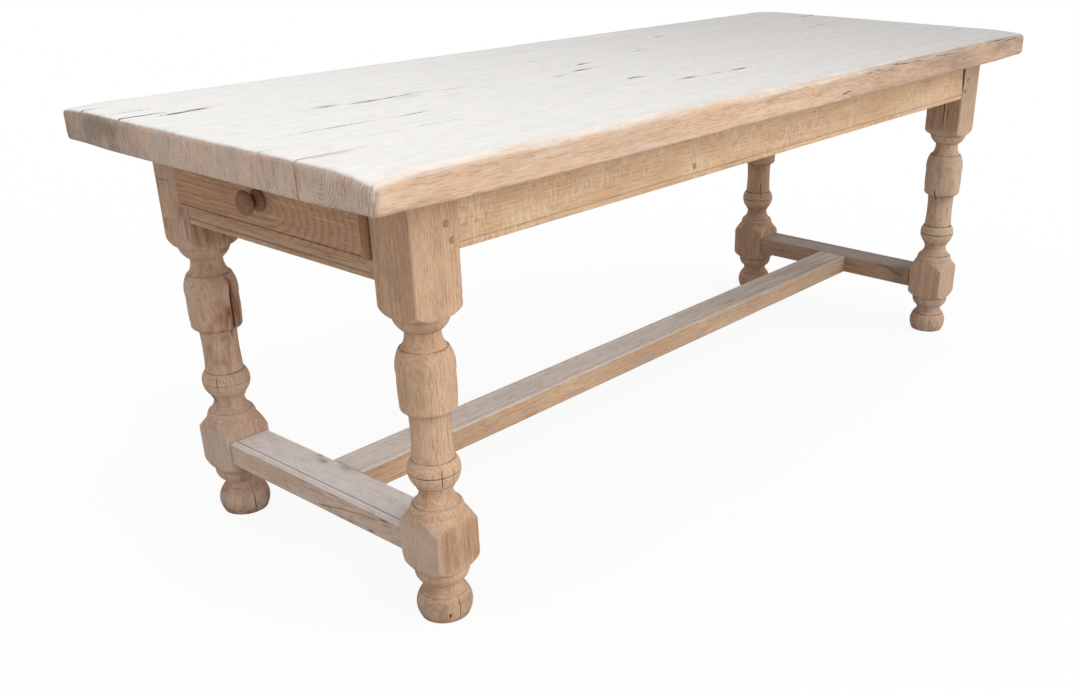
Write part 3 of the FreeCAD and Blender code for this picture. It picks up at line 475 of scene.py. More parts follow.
# Table top
tableTop = {
    "halfLength": 1.035, "halfWidth": 0.395, "low": 0.715, "high": 0.770,
    "joints": (-0.395, -0.23305, -0.14931, 0.21883, 0.33496, 0.395),
    # how far each joint has opened: on the end face, on top, and how far in from the end
    "openJoints": ((0, 0, 0.1), (0.8, 0.28, 0.16), (0.15, 0.2, 0.04), (0.15, 1.0, 0.12), (0.2, 0.9, 0.05),
                   (0, 0, 0.1)),
    "endEdge": 9 * mm, "longEdge": 16 * mm, "lowEdge": 3.5 * mm, "lowCorner": 5 * mm, "jointEase": 1.6 * mm,
    "jointWidth": 1.7 * mm, "jointShade": 3 * mm, "openJoint": 1, "settle": 0.4 * mm, "cup": 0.3 * mm,
    # the band along the edges in which the edge is worn, and how deep the edge may turn
    "edgeBand": 0.05, "edgeDeepest": 24 * mm, "knock": 2.2 * mm, "endHollow": 1.4 * mm, "endCheck": 0.6 * mm,
    # how near a corner counts as near, from none to all of it, and how far in a corner has worn down
    "cornerBand": (0.15, 0.03), "cornerReach": 0.085,
    # corners at the drawer end and at the far end, front and back: radius, and how far they have worn down
    "corners": ((15 * mm, 11 * mm), (12 * mm, 12 * mm)),
    "cornerDrops": ((12 * mm, 4 * mm), (5 * mm, 4 * mm)),
    # plank: path along x and y, half width and depth in millimetres
    "cracks": {
        1: [([(-1.034, -0.2405), (-0.86, -0.2390)], 1.0, 4)],
        2: [([(-0.99, -0.176), (-0.62, -0.181)], 0.6, 2),
            ([(-0.17, -0.196), (-0.08, -0.202), (0.0, -0.207), (0.10, -0.210)], 4.0, 9)],
        3: [
            ([(-0.985, 0.1955), (-0.92, 0.200), (-0.848, 0.2095)], 3.8, 14),
            ([(-1.0, -0.084), (-0.885, -0.088), (-0.75, -0.091), (-0.57, -0.093)], 1.9, 5),
            ([(-0.75, 0.050), (-0.66, 0.055), (-0.606, 0.055), (-0.53, 0.060)], 4.0, 9),
            ([(-0.53, 0.045), (-0.453, 0.036)], 2.2, 5),
            ([(-0.215, 0.020), (-0.16, 0.019), (-0.11, 0.023)], 3.8, 9),
            ([(-0.26, 0.173), (-0.18, 0.178), (-0.12, 0.166)], 3.2, 8),
            ([(-0.15, 0.069), (-0.04, 0.082)], 2.8, 7),
            ([(-0.22, -0.116), (-0.14, -0.124)], 3.8, 9),
            ([(0.085, 0.112), (0.177, 0.125)], 3.0, 7),
            ([(0.528, -0.051), (0.60, -0.057)], 2.8, 6),
            ([(0.72, 0.075), (0.90, 0.083)], 1.6, 5),
        ],
        4: [([(-1.03, 0.262), (-0.94, 0.266)], 1.4, 4), ([(0.323, 0.241), (0.405, 0.245)], 2.4, 5)],
        5: [([(0.6, 0.36), (0.8, 0.357)], 1.0, 2)],
    },
    # cracks in the long front edge: path along x and z, half width and depth
    "edgeCracks": [
        ([(0.31, 0.765), (0.40, 0.759), (0.49, 0.758)], 0.8, 4), ([(0.50, 0.761), (0.64, 0.757)], 0.6, 3),
        ([(0.24, 0.764), (0.30, 0.754)], 0.7, 3), ([(0.80, 0.764), (0.94, 0.763)], 0.8, 4),
        ([(0.87, 0.756), (1.0, 0.761)], 0.7, 4), ([(0.13, 0.726), (0.17, 0.731)], 1.2, 4),
    ],
    # dark marks on the middle planks: x, y, length, width, strength
    "knots": [(-0.756, 0.064, 0.022, 0.010, 0.8), (-0.683, 0.052, 0.028, 0.010, 0.7),
              (-0.60, 0.038, 0.05, 0.010, 0.35), (-0.267, 0.0, 0.018, 0.009, 0.8),
              (0.149, 0.136, 0.02, 0.009, 0.8), (-0.54, -0.011, 0.04, 0.016, 0.25),
              (-0.16, 0.17, 0.03, 0.010, 0.4), (-0.1, 0.08, 0.04, 0.010, 0.4),
              (0.02, -0.2, 0.05, 0.01, 0.4), (0.36, 0.06, 0.025, 0.010, 0.6),
              (0.62, -0.09, 0.02, 0.010, 0.7), (0.857, -0.243, 0.016, 0.008, 0.9),
              (-0.24, 0.002, 0.055, 0.011, 0.45), (0.89, -0.02, 0.015, 0.010, 0.8),
              (0.51, 0.10, 0.04, 0.015, 0.3)],
}


# The value of the corner of the top that a point is nearest to
def ofCorner(values, points):
    return np.array(values)[(points[:, 0] > 0).astype(int), (points[:, 1] > 0).astype(int)]


# How near a point is to a corner along an edge, from its distance to the other edge
def nearCorner(distance):
    return smoothStep(*tableTop["cornerBand"], distance)


# Radii of a plank's edges: worn wide along the top edges, wider still towards the corners, small at the
# joints
def plankRadii(points, number):
    top = tableTop
    wear = 1 + 0.3 * roughNoise(points * [1, 1, 0] + 7, 0.12, 40)
    upper = points[:, 2] > top["low"] + 8 * mm
    toEnd = top["halfLength"] - np.abs(points[:, 0])
    toSide = top["halfWidth"] - np.abs(points[:, 1])
    corner = ofCorner(top["corners"], points)
    ends = top["endEdge"] * wear + (corner - top["endEdge"]) * nearCorner(toSide)
    sides = top["longEdge"] * wear + (corner - top["longEdge"]) * nearCorner(toEnd)
    nearEdge = np.minimum(toEnd, toSide) < top["edgeBand"]
    heights = np.where(nearEdge, np.where(toEnd < toSide, 1.2 * ends, sides), top["endEdge"])
    lowJoint, highJoint = [np.full(len(points), 0.5 * mm * (side == top["openJoint"]))
                           for side in (number - 1, number)]
    below = top["lowEdge"] + top["lowCorner"] * nearCorner(toEnd) * nearCorner(toSide)
    ends = np.where(upper, ends, below + (ends - below) * nearCorner(toSide))
    sides = np.where(upper, sides, below + (sides - below) * nearCorner(toEnd))
    lowY = sides if number == 1 else lowJoint
    highY = sides if number == 5 else highJoint
    above = np.minimum(heights, top["edgeDeepest"])
    return np.stack([ends, lowY, below], 1), np.stack([ends, highY, above], 1)


# The corners of the top have worn down: the board thins towards each corner
def cornerWear(points):
    top = tableTop
    toEnd = (top["halfLength"] - np.abs(points[:, 0])) / top["cornerReach"]
    toSide = (top["halfWidth"] - np.abs(points[:, 1])) / top["cornerReach"]
    share = np.clip(1 - np.hypot(toEnd, toSide), 0, 1) ** 1.6
    moved = points.copy()
    drop = ofCorner(top["cornerDrops"], points) * share
    moved[:, 2] -= drop * (points[:, 2] - top["low"]) / (top["high"] - top["low"])
    return moved


# The joint lines: eased and dark near the ends of the table, nearly closed in between
def jointWear(number):
    joints = [(tableTop["joints"][side], tableTop["openJoints"][side])
              for side in (number - 1, number) if 0 < side < 5]

    def cut(points, normals):
        onEnd = smoothStep(0.4, 0.9, np.abs(normals[:, 0]))
        spots = np.maximum(0, cellNoise(points * [1, 0, 0] + number, 0.09, 66))
        broken = 0.5 + 0.5 * cellNoise(points * [0, 0, 1] + number, 0.012, 67)
        outside = np.abs(normals[:, 1]) < 0.95
        fromEnd = tableTop["halfLength"] - np.abs(points[:, 0])
        shape, dark = 0.0, 0.0
        for place, (endShare, topShare, reach) in joints:
            line = bump(points[:, 1] - place, tableTop["jointWidth"])
            opened = np.clip(topShare * smoothStep(reach, 0.3 * reach, fromEnd) + 0.3 * spots + 0.06, 0, 1)
            shape = shape + line * (opened + (endShare - opened) * onEnd)
            wide = bump(points[:, 1] - place, tableTop["jointShade"]) * (1 - onEnd) + line * onEnd
            dark = dark + wide * (opened + (endShare * (0.1 + 0.9 * broken) - opened) * onEnd)
        return tableTop["jointEase"] * shape * outside, dark
    return cut


# Each plank has cupped and settled by its own amount, so the joints show as small steps
def plankSettle(number):
    low, high = tableTop["joints"][number - 1], tableTop["joints"][number]

    def cut(points, normals):
        up = smoothStep(0.3, 0.9, normals[:, 2])
        cup = ((2 * points[:, 1] - low - high) / (high - low)) ** 2 * tableTop["cup"]
        drop = tableTop["settle"] + 0.25 * mm * cellNoise(points * [1, 0, 0] + number * 3.1, 0.5, 60 + number)
        return up * (cup + drop), 0.0
    return cut


# End faces are weathered: shallow hollows, and checks that run up the face
def endWear(number):
    def cut(points, normals):
        end = smoothStep(0.5, 0.95, np.abs(normals[:, 0]))
        hollows = tableTop["endHollow"] * (0.5 + 0.5 * roughNoise(points, (0.03, 0.024, 0.03), 70))
        lines = np.abs(cellNoise(points * [0, 1, 0.12] + number, 0.013, 80 + number))
        checks = smoothStep(0.07, 0.0, lines) * smoothStep(0.1, 0.5, cellNoise(points, 0.035, 90 + number))
        return end * (hollows + tableTop["endCheck"] * checks), end * 0.22 * checks
    return cut


# Old colour left on the long front edge towards the far end, and on the end face towards the back
def edgeAge(points, normals):
    front = smoothStep(0.3, 0.8, -normals[:, 1]) * smoothStep(-0.5, 0.6, points[:, 0])
    end = smoothStep(0.3, 0.8, -normals[:, 0]) * smoothStep(-0.05, 0.3, points[:, 1])
    patches = 0.85 + 0.3 * roughNoise(points, (0.08, 0.03, 0.03), 101)
    return 0.0, patches * np.maximum(0.36 * front, 0.4 * end)


# Knocks along the worn edges
def edgeKnocks(points, normals):
    rubbed = smoothStep(0.06, 0.3, 1 - np.abs(normals).max(1))
    knocks = smoothStep(0.35, 0.8, cellNoise(points, (0.035, 0.035, 0.02), 99))
    return tableTop["knock"] * rubbed * knocks, 0.1 * rubbed * knocks


# How far the top is bleached: fully inside, less within a hand's breadth of the long edges, fading out
# over the turn of the edge. Ends stay paler than the long edges. The knots, the grey far half and the
# end faces are stained.
def plankMarks(points, normals):
    top = tableTop
    up = np.clip(normals[:, 2], 0, 1)
    onEnd = smoothStep(0.15, 0.6, np.abs(normals[:, 0]))
    toSide = top["halfWidth"] - np.abs(points[:, 1])
    inside = 0.72 + 0.28 * smoothStep(0, 0.05, toSide)
    ends = 0.04 + 0.85 * smoothStep(0.5, 0.97, up)
    edge = np.where(np.abs(normals[:, 0]) > np.abs(normals[:, 1]), ends, 0.7 * up)
    ragged = 0.22 * roughNoise(points, (0.06, 0.025, 0.025), 120) * smoothStep(1, 0.93, up)
    rim = (np.minimum(toSide, top["halfLength"] - np.abs(points[:, 0])) < 0.04) & (up < 0.995)
    bleached = np.where(rim, np.minimum(edge + ragged, inside), inside * smoothStep(0.2, 0.6, up))
    stain = np.zeros(len(points))
    for x, y, length, width, strength in top["knots"]:
        apart = ((points[:, 0] - x) / length) ** 2 + ((points[:, 1] - y) / width) ** 2
        stain = np.maximum(stain, strength * np.exp(-apart))
    streaks = smoothStep(0.15, 0.75, roughNoise(points * [1, 1, 0.3], 0.045, 130))
    worn = 0.6 * smoothStep(-1.3, 1.3, points[:, 0] + 0.3 * points[:, 1])
    stain = np.maximum(np.maximum(stain, worn) * (up > 0.5), 0.55 * onEnd * streaks)
    return {"bleached": np.clip(bleached, 0, 1), "stain": stain, "endGrain": onEnd}


# Plank: a board with worn edges, cracked along its grain
def plank(number, material):
    top = tableTop
    low = np.array([-top["halfLength"], top["joints"][number - 1], top["low"]])
    high = np.array([top["halfLength"], top["joints"][number], top["high"]])
    cracks = top["cracks"][number]
    paths = [path for path, width, depth in cracks]
    cuts = [crack(2, 1, 0, 1, path, width * mm, depth * mm, 11 * number + order)
            for order, (path, width, depth) in enumerate(cracks)]
    if number == 1:
        cuts += [crack(1, -1, 0, 2, path, width * mm, depth * mm, 200 + order, 0.6)
                 for order, (path, width, depth) in enumerate(top["edgeCracks"])]
    clusters = [(float(np.mean([point[1] for point in path])), width * mm) for path, width, depth in cracks]
    joints = [(low[1] + 3 * mm, 1.2 * mm), (high[1] - 3 * mm, 1.2 * mm)]
    board = {
        "steps": (10 * mm, 11 * mm, 1.2 * mm if number == 1 else 2.5 * mm),
        "edge": (20 * mm, 20 * mm, 5 * mm),
        "lines": ((), clusters + joints, ()), "bend": followCracks(0, 1, paths),
        "radii": lambda points: plankRadii(points, number), "along": 0, "wear": 0.6 * mm,
        "wearCell": (0.16, 0.05, 0.05), "seed": 20 + number, "marks": plankMarks, "reshape": cornerWear,
        "cuts": [jointWear(number), plankSettle(number), endWear(number), edgeKnocks, edgeAge, *cuts],
    }
    shell = wornBoard(low, high, board)
    return makePiece(f"plank_{number}", *shell, "frame", [f"top_plank_{number}"], "top_oak", material)


# pith across and up, and how strongly the rings show on the end face
plankPith = {1: ((-0.285, 0.7514), 0.55), 2: ((-0.205, 0.70), 0.4), 3: ((0.02, 0.55), 0.1),
             4: ((0.29, 0.83), 0.1), 5: ((0.42, 0.74), 0.1)}
topTones = {
    "along": 0, "light": shown(234, 202, 174), "deep": shown(220, 186, 156), "worn": shown(244, 218, 192),
    "warm": shown(228, 186, 152), "grey": shown(208, 184, 164),
    "pale": shown(246, 244, 241), "paleGrey": shown(224, 222, 219), "greyLine": shown(186, 182, 178),
    "endColour": shown(200, 181, 168), "stained": shown(140, 136, 134), "bleach": 1.0, "ring": 6 * mm,
    "endShare": 0.8, "rub": 0.1, "lineAlong": 24.0, "lineAcross": 380.0, "line": 0.4, "pore": 0.4,
    "stainStreak": 0.12, "paleStreak": 0.14, "paleLine": 0.6, "paleMottle": 0.4,
}
for number, (pith, endRing) in plankPith.items():
    finish = {**topTones, "pith": pith, "seed": number * 3.7, "endRing": endRing}
    plank(number, oakFinish(f"bleachedOak{number}", **finish))
print("table top made")

# Legs
# Members of the turning from the floor up: name, height, radius below and above, and how far its side
# swells out of the straight line as a share of its length
legTurning = (
    ("bun", 50, 40.5, 36, 0.168), ("bun neck", 18, 34, 34, -0.13), ("ring", 25, 36, 45, 0.15),
    ("block foot", 42, 46, 65.8, 0.207), ("block", 36.5, 65.8, 65.8, 0), ("block cone", 23.5, 65.8, 44.5, 0),
    ("collar", 15, 44.5, 39.5, 0.09), ("cove", 18, 38, 28, -0.09), ("low neck", 9, 28, 28, 0),
    ("fillet", 4, 31, 31, 0), ("ball, lower half", 24.4, 31, 43, 0.09), ("score", 1.6, 43, 41.4, 0),
    ("score", 1.6, 41.4, 43, 0), ("ball, upper half", 19.4, 43, 36, 0.09), ("column", 80, 34.5, 33.5, -0.02),
    ("vase foot", 3.5, 33.5, 40.2, 0), ("vase lip", 10.5, 40.2, 44.8, 0.2), ("vase", 48, 44.8, 45.5, 0.02),
    ("vase shoulder", 44, 45.5, 38.5, 0.09),
    ("vase hollow", 21, 36.5, 28.3, -0.09), ("high neck", 8, 28.3, 28.3, 0), ("ovolo", 22, 31, 45, 0.09),
    ("block shoulder", 32, 45.5, 65.8, 0.207), ("top block", 158, 65.8, 65.8, 0),
)
legShape = {
    "width": 92 * mm, "spot": (0.883, 0.286), "arris": 24, "blend": 0.8 * mm, "squareFrom": 65.6 * mm,
    "columns": 132, "step": 1.7 * mm, "fineStep": 0.6 * mm, "scoreDepth": 0.8 * mm, "wear": 0.55 * mm,
    # heights between which the foot gets dirty, and the height and spread of the rubbed ball
    "footBand": (0.062, 0.03), "ball": (0.262, 20 * mm),
    # lines scored by the turner: height and strength
    "scores": ((0.046, 0.65), (0.0675, 0.5), (0.090, 0.45), (0.2095, 0.5), (0.2155, 0.35), (0.2285, 0.45),
               (0.241, 0.6), (0.250, 0.3), (0.267, 0.7), (0.278, 0.3), (0.2885, 0.75), (0.296, 0.35),
               (0.3685, 0.5), (0.4745, 0.5), (0.481, 0.3), (0.5035, 0.5), (0.508, 0.2), (0.5245, 0.4)),
}


# Radius and height along the turning: each member is an arc whose middle stands off its chord
def turningLine(members, step):
    radii, heights = [], []
    level = 0.0
    for name, height, lowRadius, highRadius, swell in members:
        start = np.array([lowRadius, level]) * mm
        end = np.array([highRadius, level + height]) * mm
        count = max(3, int(np.linalg.norm(end - start) / step))
        part = np.linspace(0, 1, count)[:, None]
        chord = end - start
        across = np.array([chord[1], -chord[0]])
        line = start + chord * part + across * (4 * swell * part * (1 - part))
        radii.append(line[:, 0])
        heights.append(line[:, 1])
        level += height
    radius, height = np.concatenate(radii), np.concatenate(heights)
    scored = [level for level, strength in legShape["scores"]]
    return evenLine(radius, height, step, legShape["fineStep"], scored)


turningSoft = {"spacing": 0.25 * mm, "half": 12, "width": 4.0, "nearScore": 2.4 * mm}


# The same line at even steps, wider ones on the plain square parts and fine ones at the scored lines,
# softened a little as wear softens it
def evenLine(radius, height, step, fineStep=None, fineAt=()):
    length = np.concatenate([[0], np.cumsum(np.hypot(np.diff(radius), np.diff(height)))])
    keep = np.concatenate([[True], np.diff(length) > 1e-7])
    soften = turningSoft
    fine = np.arange(0, length[-1], soften["spacing"])
    line = np.stack([np.interp(fine, length[keep], part[keep]) for part in (radius, height)])
    kernel = bump(np.arange(-soften["half"], soften["half"] + 1), soften["width"])
    kernel /= kernel.sum()
    padded = np.pad(line, ((0, 0), (soften["half"], soften["half"])), "edge")
    soft = np.stack([np.convolve(row, kernel, "valid") for row in padded])
    steps = np.where(soft[0] > legShape["squareFrom"], 3 * step, step)
    for level in fineAt:
        steps = np.where(np.abs(soft[1] - level) < soften["nearScore"], fineStep, steps)
    count = np.floor(np.cumsum(soften["spacing"] / steps))
    pick = np.concatenate([[0], np.flatnonzero(np.diff(count)) + 1, [soft.shape[1] - 1]])
    return soft[0, pick], soft[1, pick]


# Angles round the leg, closer together at the arrises and at the splits
def legAngles(count, splits):
    even = np.linspace(0, 2 * np.pi, count, endpoint=False)
    even = even - 0.13 * np.sin(4 * (even - np.pi / 4))
    near = [angle + np.radians([-5, -2.6, -1.3, -0.6, 0, 0.6, 1.3, 2.6, 5]) for angle, *rest in splits]
    angles = np.sort(np.concatenate([even, *near]) % (2 * np.pi))
    return angles[np.concatenate([[True], np.diff(angles) > 0.004])]


# How far the leg reaches at each angle: the turning where it lies inside the square stock, the stock's
# faces elsewhere, joined by a soft minimum
def legReach(turned, angle):
    power, soft = legShape["arris"], legShape["blend"]
    around = (np.abs(np.cos(angle)) ** power + np.abs(np.sin(angle)) ** power) ** (1 / power)
    square = 0.5 * legShape["width"] / around
    return turned - soft * np.logaddexp(0, (turned - square) / soft)


# Leg: a radius for each angle and each step along the turning, less the depth of its wear
def leg(name, piece, material):
    seed = piece["seed"]
    spot = np.array([*np.multiply(legShape["spot"], piece["side"]), 0])
    splits = [(np.radians(degrees), *rest) for degrees, *rest in piece["splits"]]
    radius, height = turningLine(legTurning, legShape["step"])
    angle, row = np.meshgrid(legAngles(legShape["columns"], splits), np.arange(len(radius)))
    reach = legReach(radius[row], angle)
    flat = np.stack([reach * np.cos(angle), reach * np.sin(angle), height[row]], -1).reshape(-1, 3)
    turned = smoothStep(2 * mm, 0.5 * mm, (radius[row] - reach).ravel())
    uneven = np.clip(0.75 + 0.5 * roughNoise(flat + spot, 0.018, seed + 41), 0.2, 1.2)
    scored = scoreLines(height)[row].ravel() * turned * uneven
    depth = legWear(flat, spot, seed) + legShape["scoreDepth"] * scored
    foot = piece["footDirt"] * smoothStep(*legShape["footBand"], flat[:, 2])
    # Dirt and painted shade darken the creases, the scored lines and the face behind the apron's open joint;
    # the foot is dirty
    dirt = np.maximum(np.maximum(creaseShadeAndDirt(radius)[row].ravel(), foot) * uneven,
                      np.clip(scored * piece["scoreShare"], 0, 0.75))
    dirt = np.maximum(dirt, piece["openJoint"] * openJointShade(flat))
    for split in splits:
        cutDepth, cutDirt = legSplit(angle.ravel(), flat[:, 2], reach.ravel(), *split, seed)
        depth += cutDepth
        dirt = np.maximum(dirt, cutDirt)
    inward = unitRows(flat * [1, 1, 0]) * (depth * smoothStep(0, 3 * mm, flat[:, 2]))[:, None]
    poles = np.array([[0, 0, 0], [0, 0, height[-1]]])
    points = np.concatenate([flat - inward, poles])
    marks = legMarks(points, piece, turnedMarks(points, *angle.shape, dirt))
    faces = closedFaces(*angle.shape)
    return makePiece(name, points + spot, faces, marks, "frame", [name], "frame_oak", material)


# Wear all over, finer hollows along the grain, and chips along the arrises of the square parts
def legWear(points, spot, seed):
    corner = np.minimum(np.abs(points[:, 0]), np.abs(points[:, 1])) / (0.5 * legShape["width"])
    points = points + spot
    chips = smoothStep(0.3, 0.8, cellNoise(points, (0.05, 0.05, 0.022), seed + 33))
    depth = legShape["wear"] * (0.5 + 0.5 * roughNoise(points, (0.03, 0.03, 0.06), seed))
    depth += 0.35 * mm * np.abs(cellNoise(points, (0.008, 0.008, 0.05), seed + 5))
    return depth + 1.3 * mm * smoothStep(0.78, 0.95, corner) * chips


# The leg's marks with its own grime and painted shade, old colour and painted shade on dark faces, rust, and
# grey faces that are partly painted bounce light
def legMarks(points, piece, marks):
    grimeAndShade = np.clip(legGrimeAndShade(points, piece["seed"]) * piece["grimeAndShade"], 0, 0.85)
    streaks = 0.65 + 0.35 * roughNoise(points, (0.012, 0.012, 0.09), 140)
    oldColourAndShade = facePatch(points, piece["darkFaces"]) * streaks
    patches = 0.75 + 0.25 * roughNoise(points, 0.02, 141)
    ball, spread = legShape["ball"]
    grey = facePatch(points, piece["greyFaces"]) * patches
    return {
        **marks, "stain": np.maximum(grimeAndShade, np.maximum(oldColourAndShade, splitRust(points, piece["rust"]))),
        "bleached": np.maximum(0.4 * marks["bleached"], grey),
        "rubbed": np.maximum(marks["rubbed"], 0.7 * bump(points[:, 2] - ball, spread)),
    }


# Grime and painted shade in patches: under the square block, in the hollows, and near the floor
def legGrimeAndShade(points, seed):
    # height, how far it spreads, strength
    places = ((0.0, 0.03, 0.6), (0.06, 0.02, 0.5), (0.23, 0.02, 0.5), (0.33, 0.03, 0.25), (0.365, 0.012, 0.4),
              (0.42, 0.04, 0.2), (0.5, 0.03, 0.5), (0.56, 0.05, 0.5), (0.71, 0.03, 0.4))
    share = 0.16 + sum(strength * bump(points[:, 2] - place, width) for place, width, strength in places)
    patches = smoothStep(-0.1, 0.75, roughNoise(points + seed, (0.022, 0.022, 0.04), seed + 80))
    return np.clip(share * patches, 0, 0.7)


# Share of a leg's faces within given heights
def facePatch(points, faces):
    share = np.zeros(len(points))
    for axis, sign, low, high, strength in faces:
        facing = smoothStep(36 * mm, 44 * mm, sign * points[:, axis])
        share = np.maximum(share, strength * facing * within(low, high, 0.02, points[:, 2]))
    return share


# Rust-brown stains beside a big split and down the column below it
def splitRust(points, strength):
    angle = np.arctan2(points[:, 1], points[:, 0])
    apart = np.abs(np.angle(np.exp(1j * (angle - np.radians(282))))) / 0.45
    height = smoothStep(0.27, 0.31, points[:, 2]) * smoothStep(-0.5, -0.44, -points[:, 2])
    patches = smoothStep(-0.4, 0.5, roughNoise(points, (0.012, 0.012, 0.05), 143))
    return np.clip(strength * np.exp(-apart ** 2) * height * patches, 0, 1)


# Painted shade: the face behind the open joint of the front apron is brown and dark, as the gap there lies in
# shadow
def openJointShade(points):
    half = 0.5 * legShape["width"]
    inner = smoothStep(-half + 5 * mm, -half + 3 * mm, points[:, 0])
    front = smoothStep(-half + 12 * mm, -half + 4 * mm, points[:, 1])
    return inner * front * smoothStep(0.62, 0.66, points[:, 2])


# Quads of a grid of rows that closes round its columns
def gridFaces(rows, columns):
    number = np.arange(rows * columns).reshape(rows, columns)
    after = np.roll(number, -1, axis=1)
    return np.stack([number[:-1], after[:-1], after[1:], number[1:]], -1).reshape(-1, 4).tolist()


# The same grid with its ends closed: fans from its first and last row to the two points after the grid
def closedFaces(rows, columns):
    ring = np.arange(columns)
    after = np.roll(ring, -1)
    last = (rows - 1) * columns
    ends = np.full((2, columns), [[rows * columns], [rows * columns + 1]])
    fans = np.stack([[ends[0], after, ring], [ends[1], last + ring, last + after]], 0)
    return gridFaces(rows, columns) + np.moveaxis(fans, 1, 2).reshape(-1, 3).tolist()


# Dirt and painted shade darken where the turning's line turns inwards
def creaseShadeAndDirt(radius):
    ahead, behind = np.roll(radius, -3), np.roll(radius, 3)
    hollow = 0.5 * (ahead + behind) - radius
    hollow[:4] = hollow[-4:] = 0
    return smoothStep(0.15 * mm, 1.6 * mm, hollow) * 0.34


# The lines scored by the turner, as a share of their depth
def scoreLines(height):
    return sum(strength * bump(height - level, 1.1 * mm) for level, strength in legShape["scores"])


# A split up the grain of a leg, widest in the middle of its length
def legSplit(angle, level, reach, place, low, high, width, deep, seed):
    line = np.stack([level, np.full_like(level, place), np.zeros_like(level)], 1)
    middle = place + 0.02 * cellNoise(line, 0.02, seed + 70)
    apart = np.angle(np.exp(1j * (angle - middle))) * reach
    taper = within(low, high, 0.3 * (high - low), level)
    opening = width * mm * (0.25 + 0.75 * taper)
    shape = np.exp(-(apart / opening) ** 2) * taper
    return deep * mm * shape, shape


# The finish's marks on a turned piece, from the direction of its faces
def turnedMarks(points, rows, columns, dirt):
    grid = points[:rows * columns].reshape(rows, columns, 3)
    alongRow = np.roll(grid, -1, 1) - np.roll(grid, 1, 1)
    alongColumn = np.gradient(grid, axis=0)
    normals = unitRows(np.cross(alongRow, alongColumn).reshape(-1, 3))
    bend = np.linalg.norm(np.roll(grid, -2, 1) + np.roll(grid, 2, 1) - 2 * grid, axis=2)
    arris = smoothStep(0.6 * mm, 2.2 * mm, bend).ravel()
    extra = len(points) - rows * columns
    marks = {
        "bleached": smoothStep(0.25, 0.95, normals[:, 2]),
        "endGrain": smoothStep(0.45, 0.95, np.abs(normals[:, 2])),
        "rubbed": arris, "dirt": np.clip(dirt, 0, 1), "stain": np.zeros(len(normals)),
    }
    return {key: np.concatenate([values, np.zeros(extra)]) for key, values in marks.items()}


# The four legs. Splits: angle round the leg in degrees, low and high end, half width and depth in
# millimetres. Dark faces, which carry old colour and on the right and far legs painted shade, and grey faces,
# which carry grey weathering and on the near leg partly painted bounce light: axis and sign of the face, its
# heights, strength.
legs = {
    "leg_near": {
        "side": (-1, -1), "seed": 3, "grimeAndShade": 0.6, "footDirt": 0.36, "scoreShare": 0.8,
        "openJoint": 0, "rust": 0,
        "splits": [(246, 0.243, 0.289, 0.5, 3), (274, 0.25, 0.285, 0.4, 2), (262, 0.002, 0.05, 0.6, 4),
                   (283, 0.292, 0.365, 0.5, 3), (238, 0.010, 0.021, 1.5, 5)],
        "darkFaces": [(1, -1, 0.09, 0.19, 0.85)],
        # The pale grey face of the low block towards the drawer end is partly painted bounce light from the
        # floor
        "greyFaces": [(0, -1, 0.09, 0.19, 1.0), (0, -1, 0.0, 0.06, 0.7)],
        "tones": {"light": shown(218, 182, 150), "deep": shown(200, 162, 130), "warm": shown(206, 156, 116)},
    },
    "leg_left": {
        "side": (-1, 1), "seed": 4, "grimeAndShade": 1.9, "footDirt": 0.33, "scoreShare": 0.6,
        "openJoint": 0, "rust": 1.5,
        "splits": [(286, 0.345, 0.475, 3.4, 14), (215, 0.25, 0.29, 0.5, 3), (262, 0.005, 0.048, 0.7, 4)],
        "darkFaces": [(1, -1, 0.525, 0.62, 0.8)],
        "greyFaces": [(0, -1, 0.09, 0.19, 1.0), (1, -1, 0.09, 0.19, 0.6), (0, -1, 0.0, 0.06, 0.9),
                      (1, -1, 0.0, 0.06, 0.9)],
        "tones": {"light": shown(210, 180, 156), "deep": shown(192, 158, 134), "warm": shown(194, 148, 116),
                  "grey": shown(182, 162, 150), "stained": shown(134, 84, 54)},
    },
    "leg_right": {
        "side": (1, -1), "seed": 5, "grimeAndShade": 0.7, "footDirt": 0.1, "scoreShare": 1.1,
        "openJoint": 0.6, "rust": 0,
        "splits": [(182, 0.353, 0.393, 1.3, 6), (214, 0.01, 0.04, 0.5, 3), (184, 0.545, 0.622, 0.9, 4),
                   (195, 0.555, 0.605, 0.7, 3)],
        # The dark face of the top block towards the drawer end is painted shade
        "darkFaces": [(0, -1, 0.53, 0.72, 0.85)], "greyFaces": [],
        "tones": {"light": shown(208, 181, 157), "deep": shown(190, 161, 138), "warm": shown(196, 158, 127)},
    },
    "leg_far": {
        "side": (1, 1), "seed": 6, "grimeAndShade": 1.0, "footDirt": 0.1, "scoreShare": 1.0,
        "openJoint": 0, "rust": 0,
        "splits": [(225, 0.27, 0.33, 0.7, 4)],
        # The dark face towards the drawer end and the darker tones below are painted shade for this leg's
        # place under the table
        "darkFaces": [(0, -1, 0.40, 0.72, 0.4)], "greyFaces": [],
        "tones": {"light": shown(186, 152, 128), "deep": shown(168, 132, 108), "warm": shown(178, 134, 104)},
    },
}
legTones = {
    "pale": shown(208, 192, 182), "paleGrey": shown(188, 170, 160), "greyLine": shown(140, 122, 110),
    "bleach": 0.6, "stained": shown(140, 100, 74), "crack": shown(58, 40, 28), "poreScale": (120.0, 460.0),
    "tint": 0.35, "mottle": 0.32, "ring": 3.6 * mm, "fleck": 0.25, "grain": 0.24, "line": 0.36,
    "lineAlong": 40.0, "lineAcross": 420.0, "pore": 0.42,
}
pithOff = (75 * mm, 45 * mm)  # how far the heart of the tree lies from a leg's middle
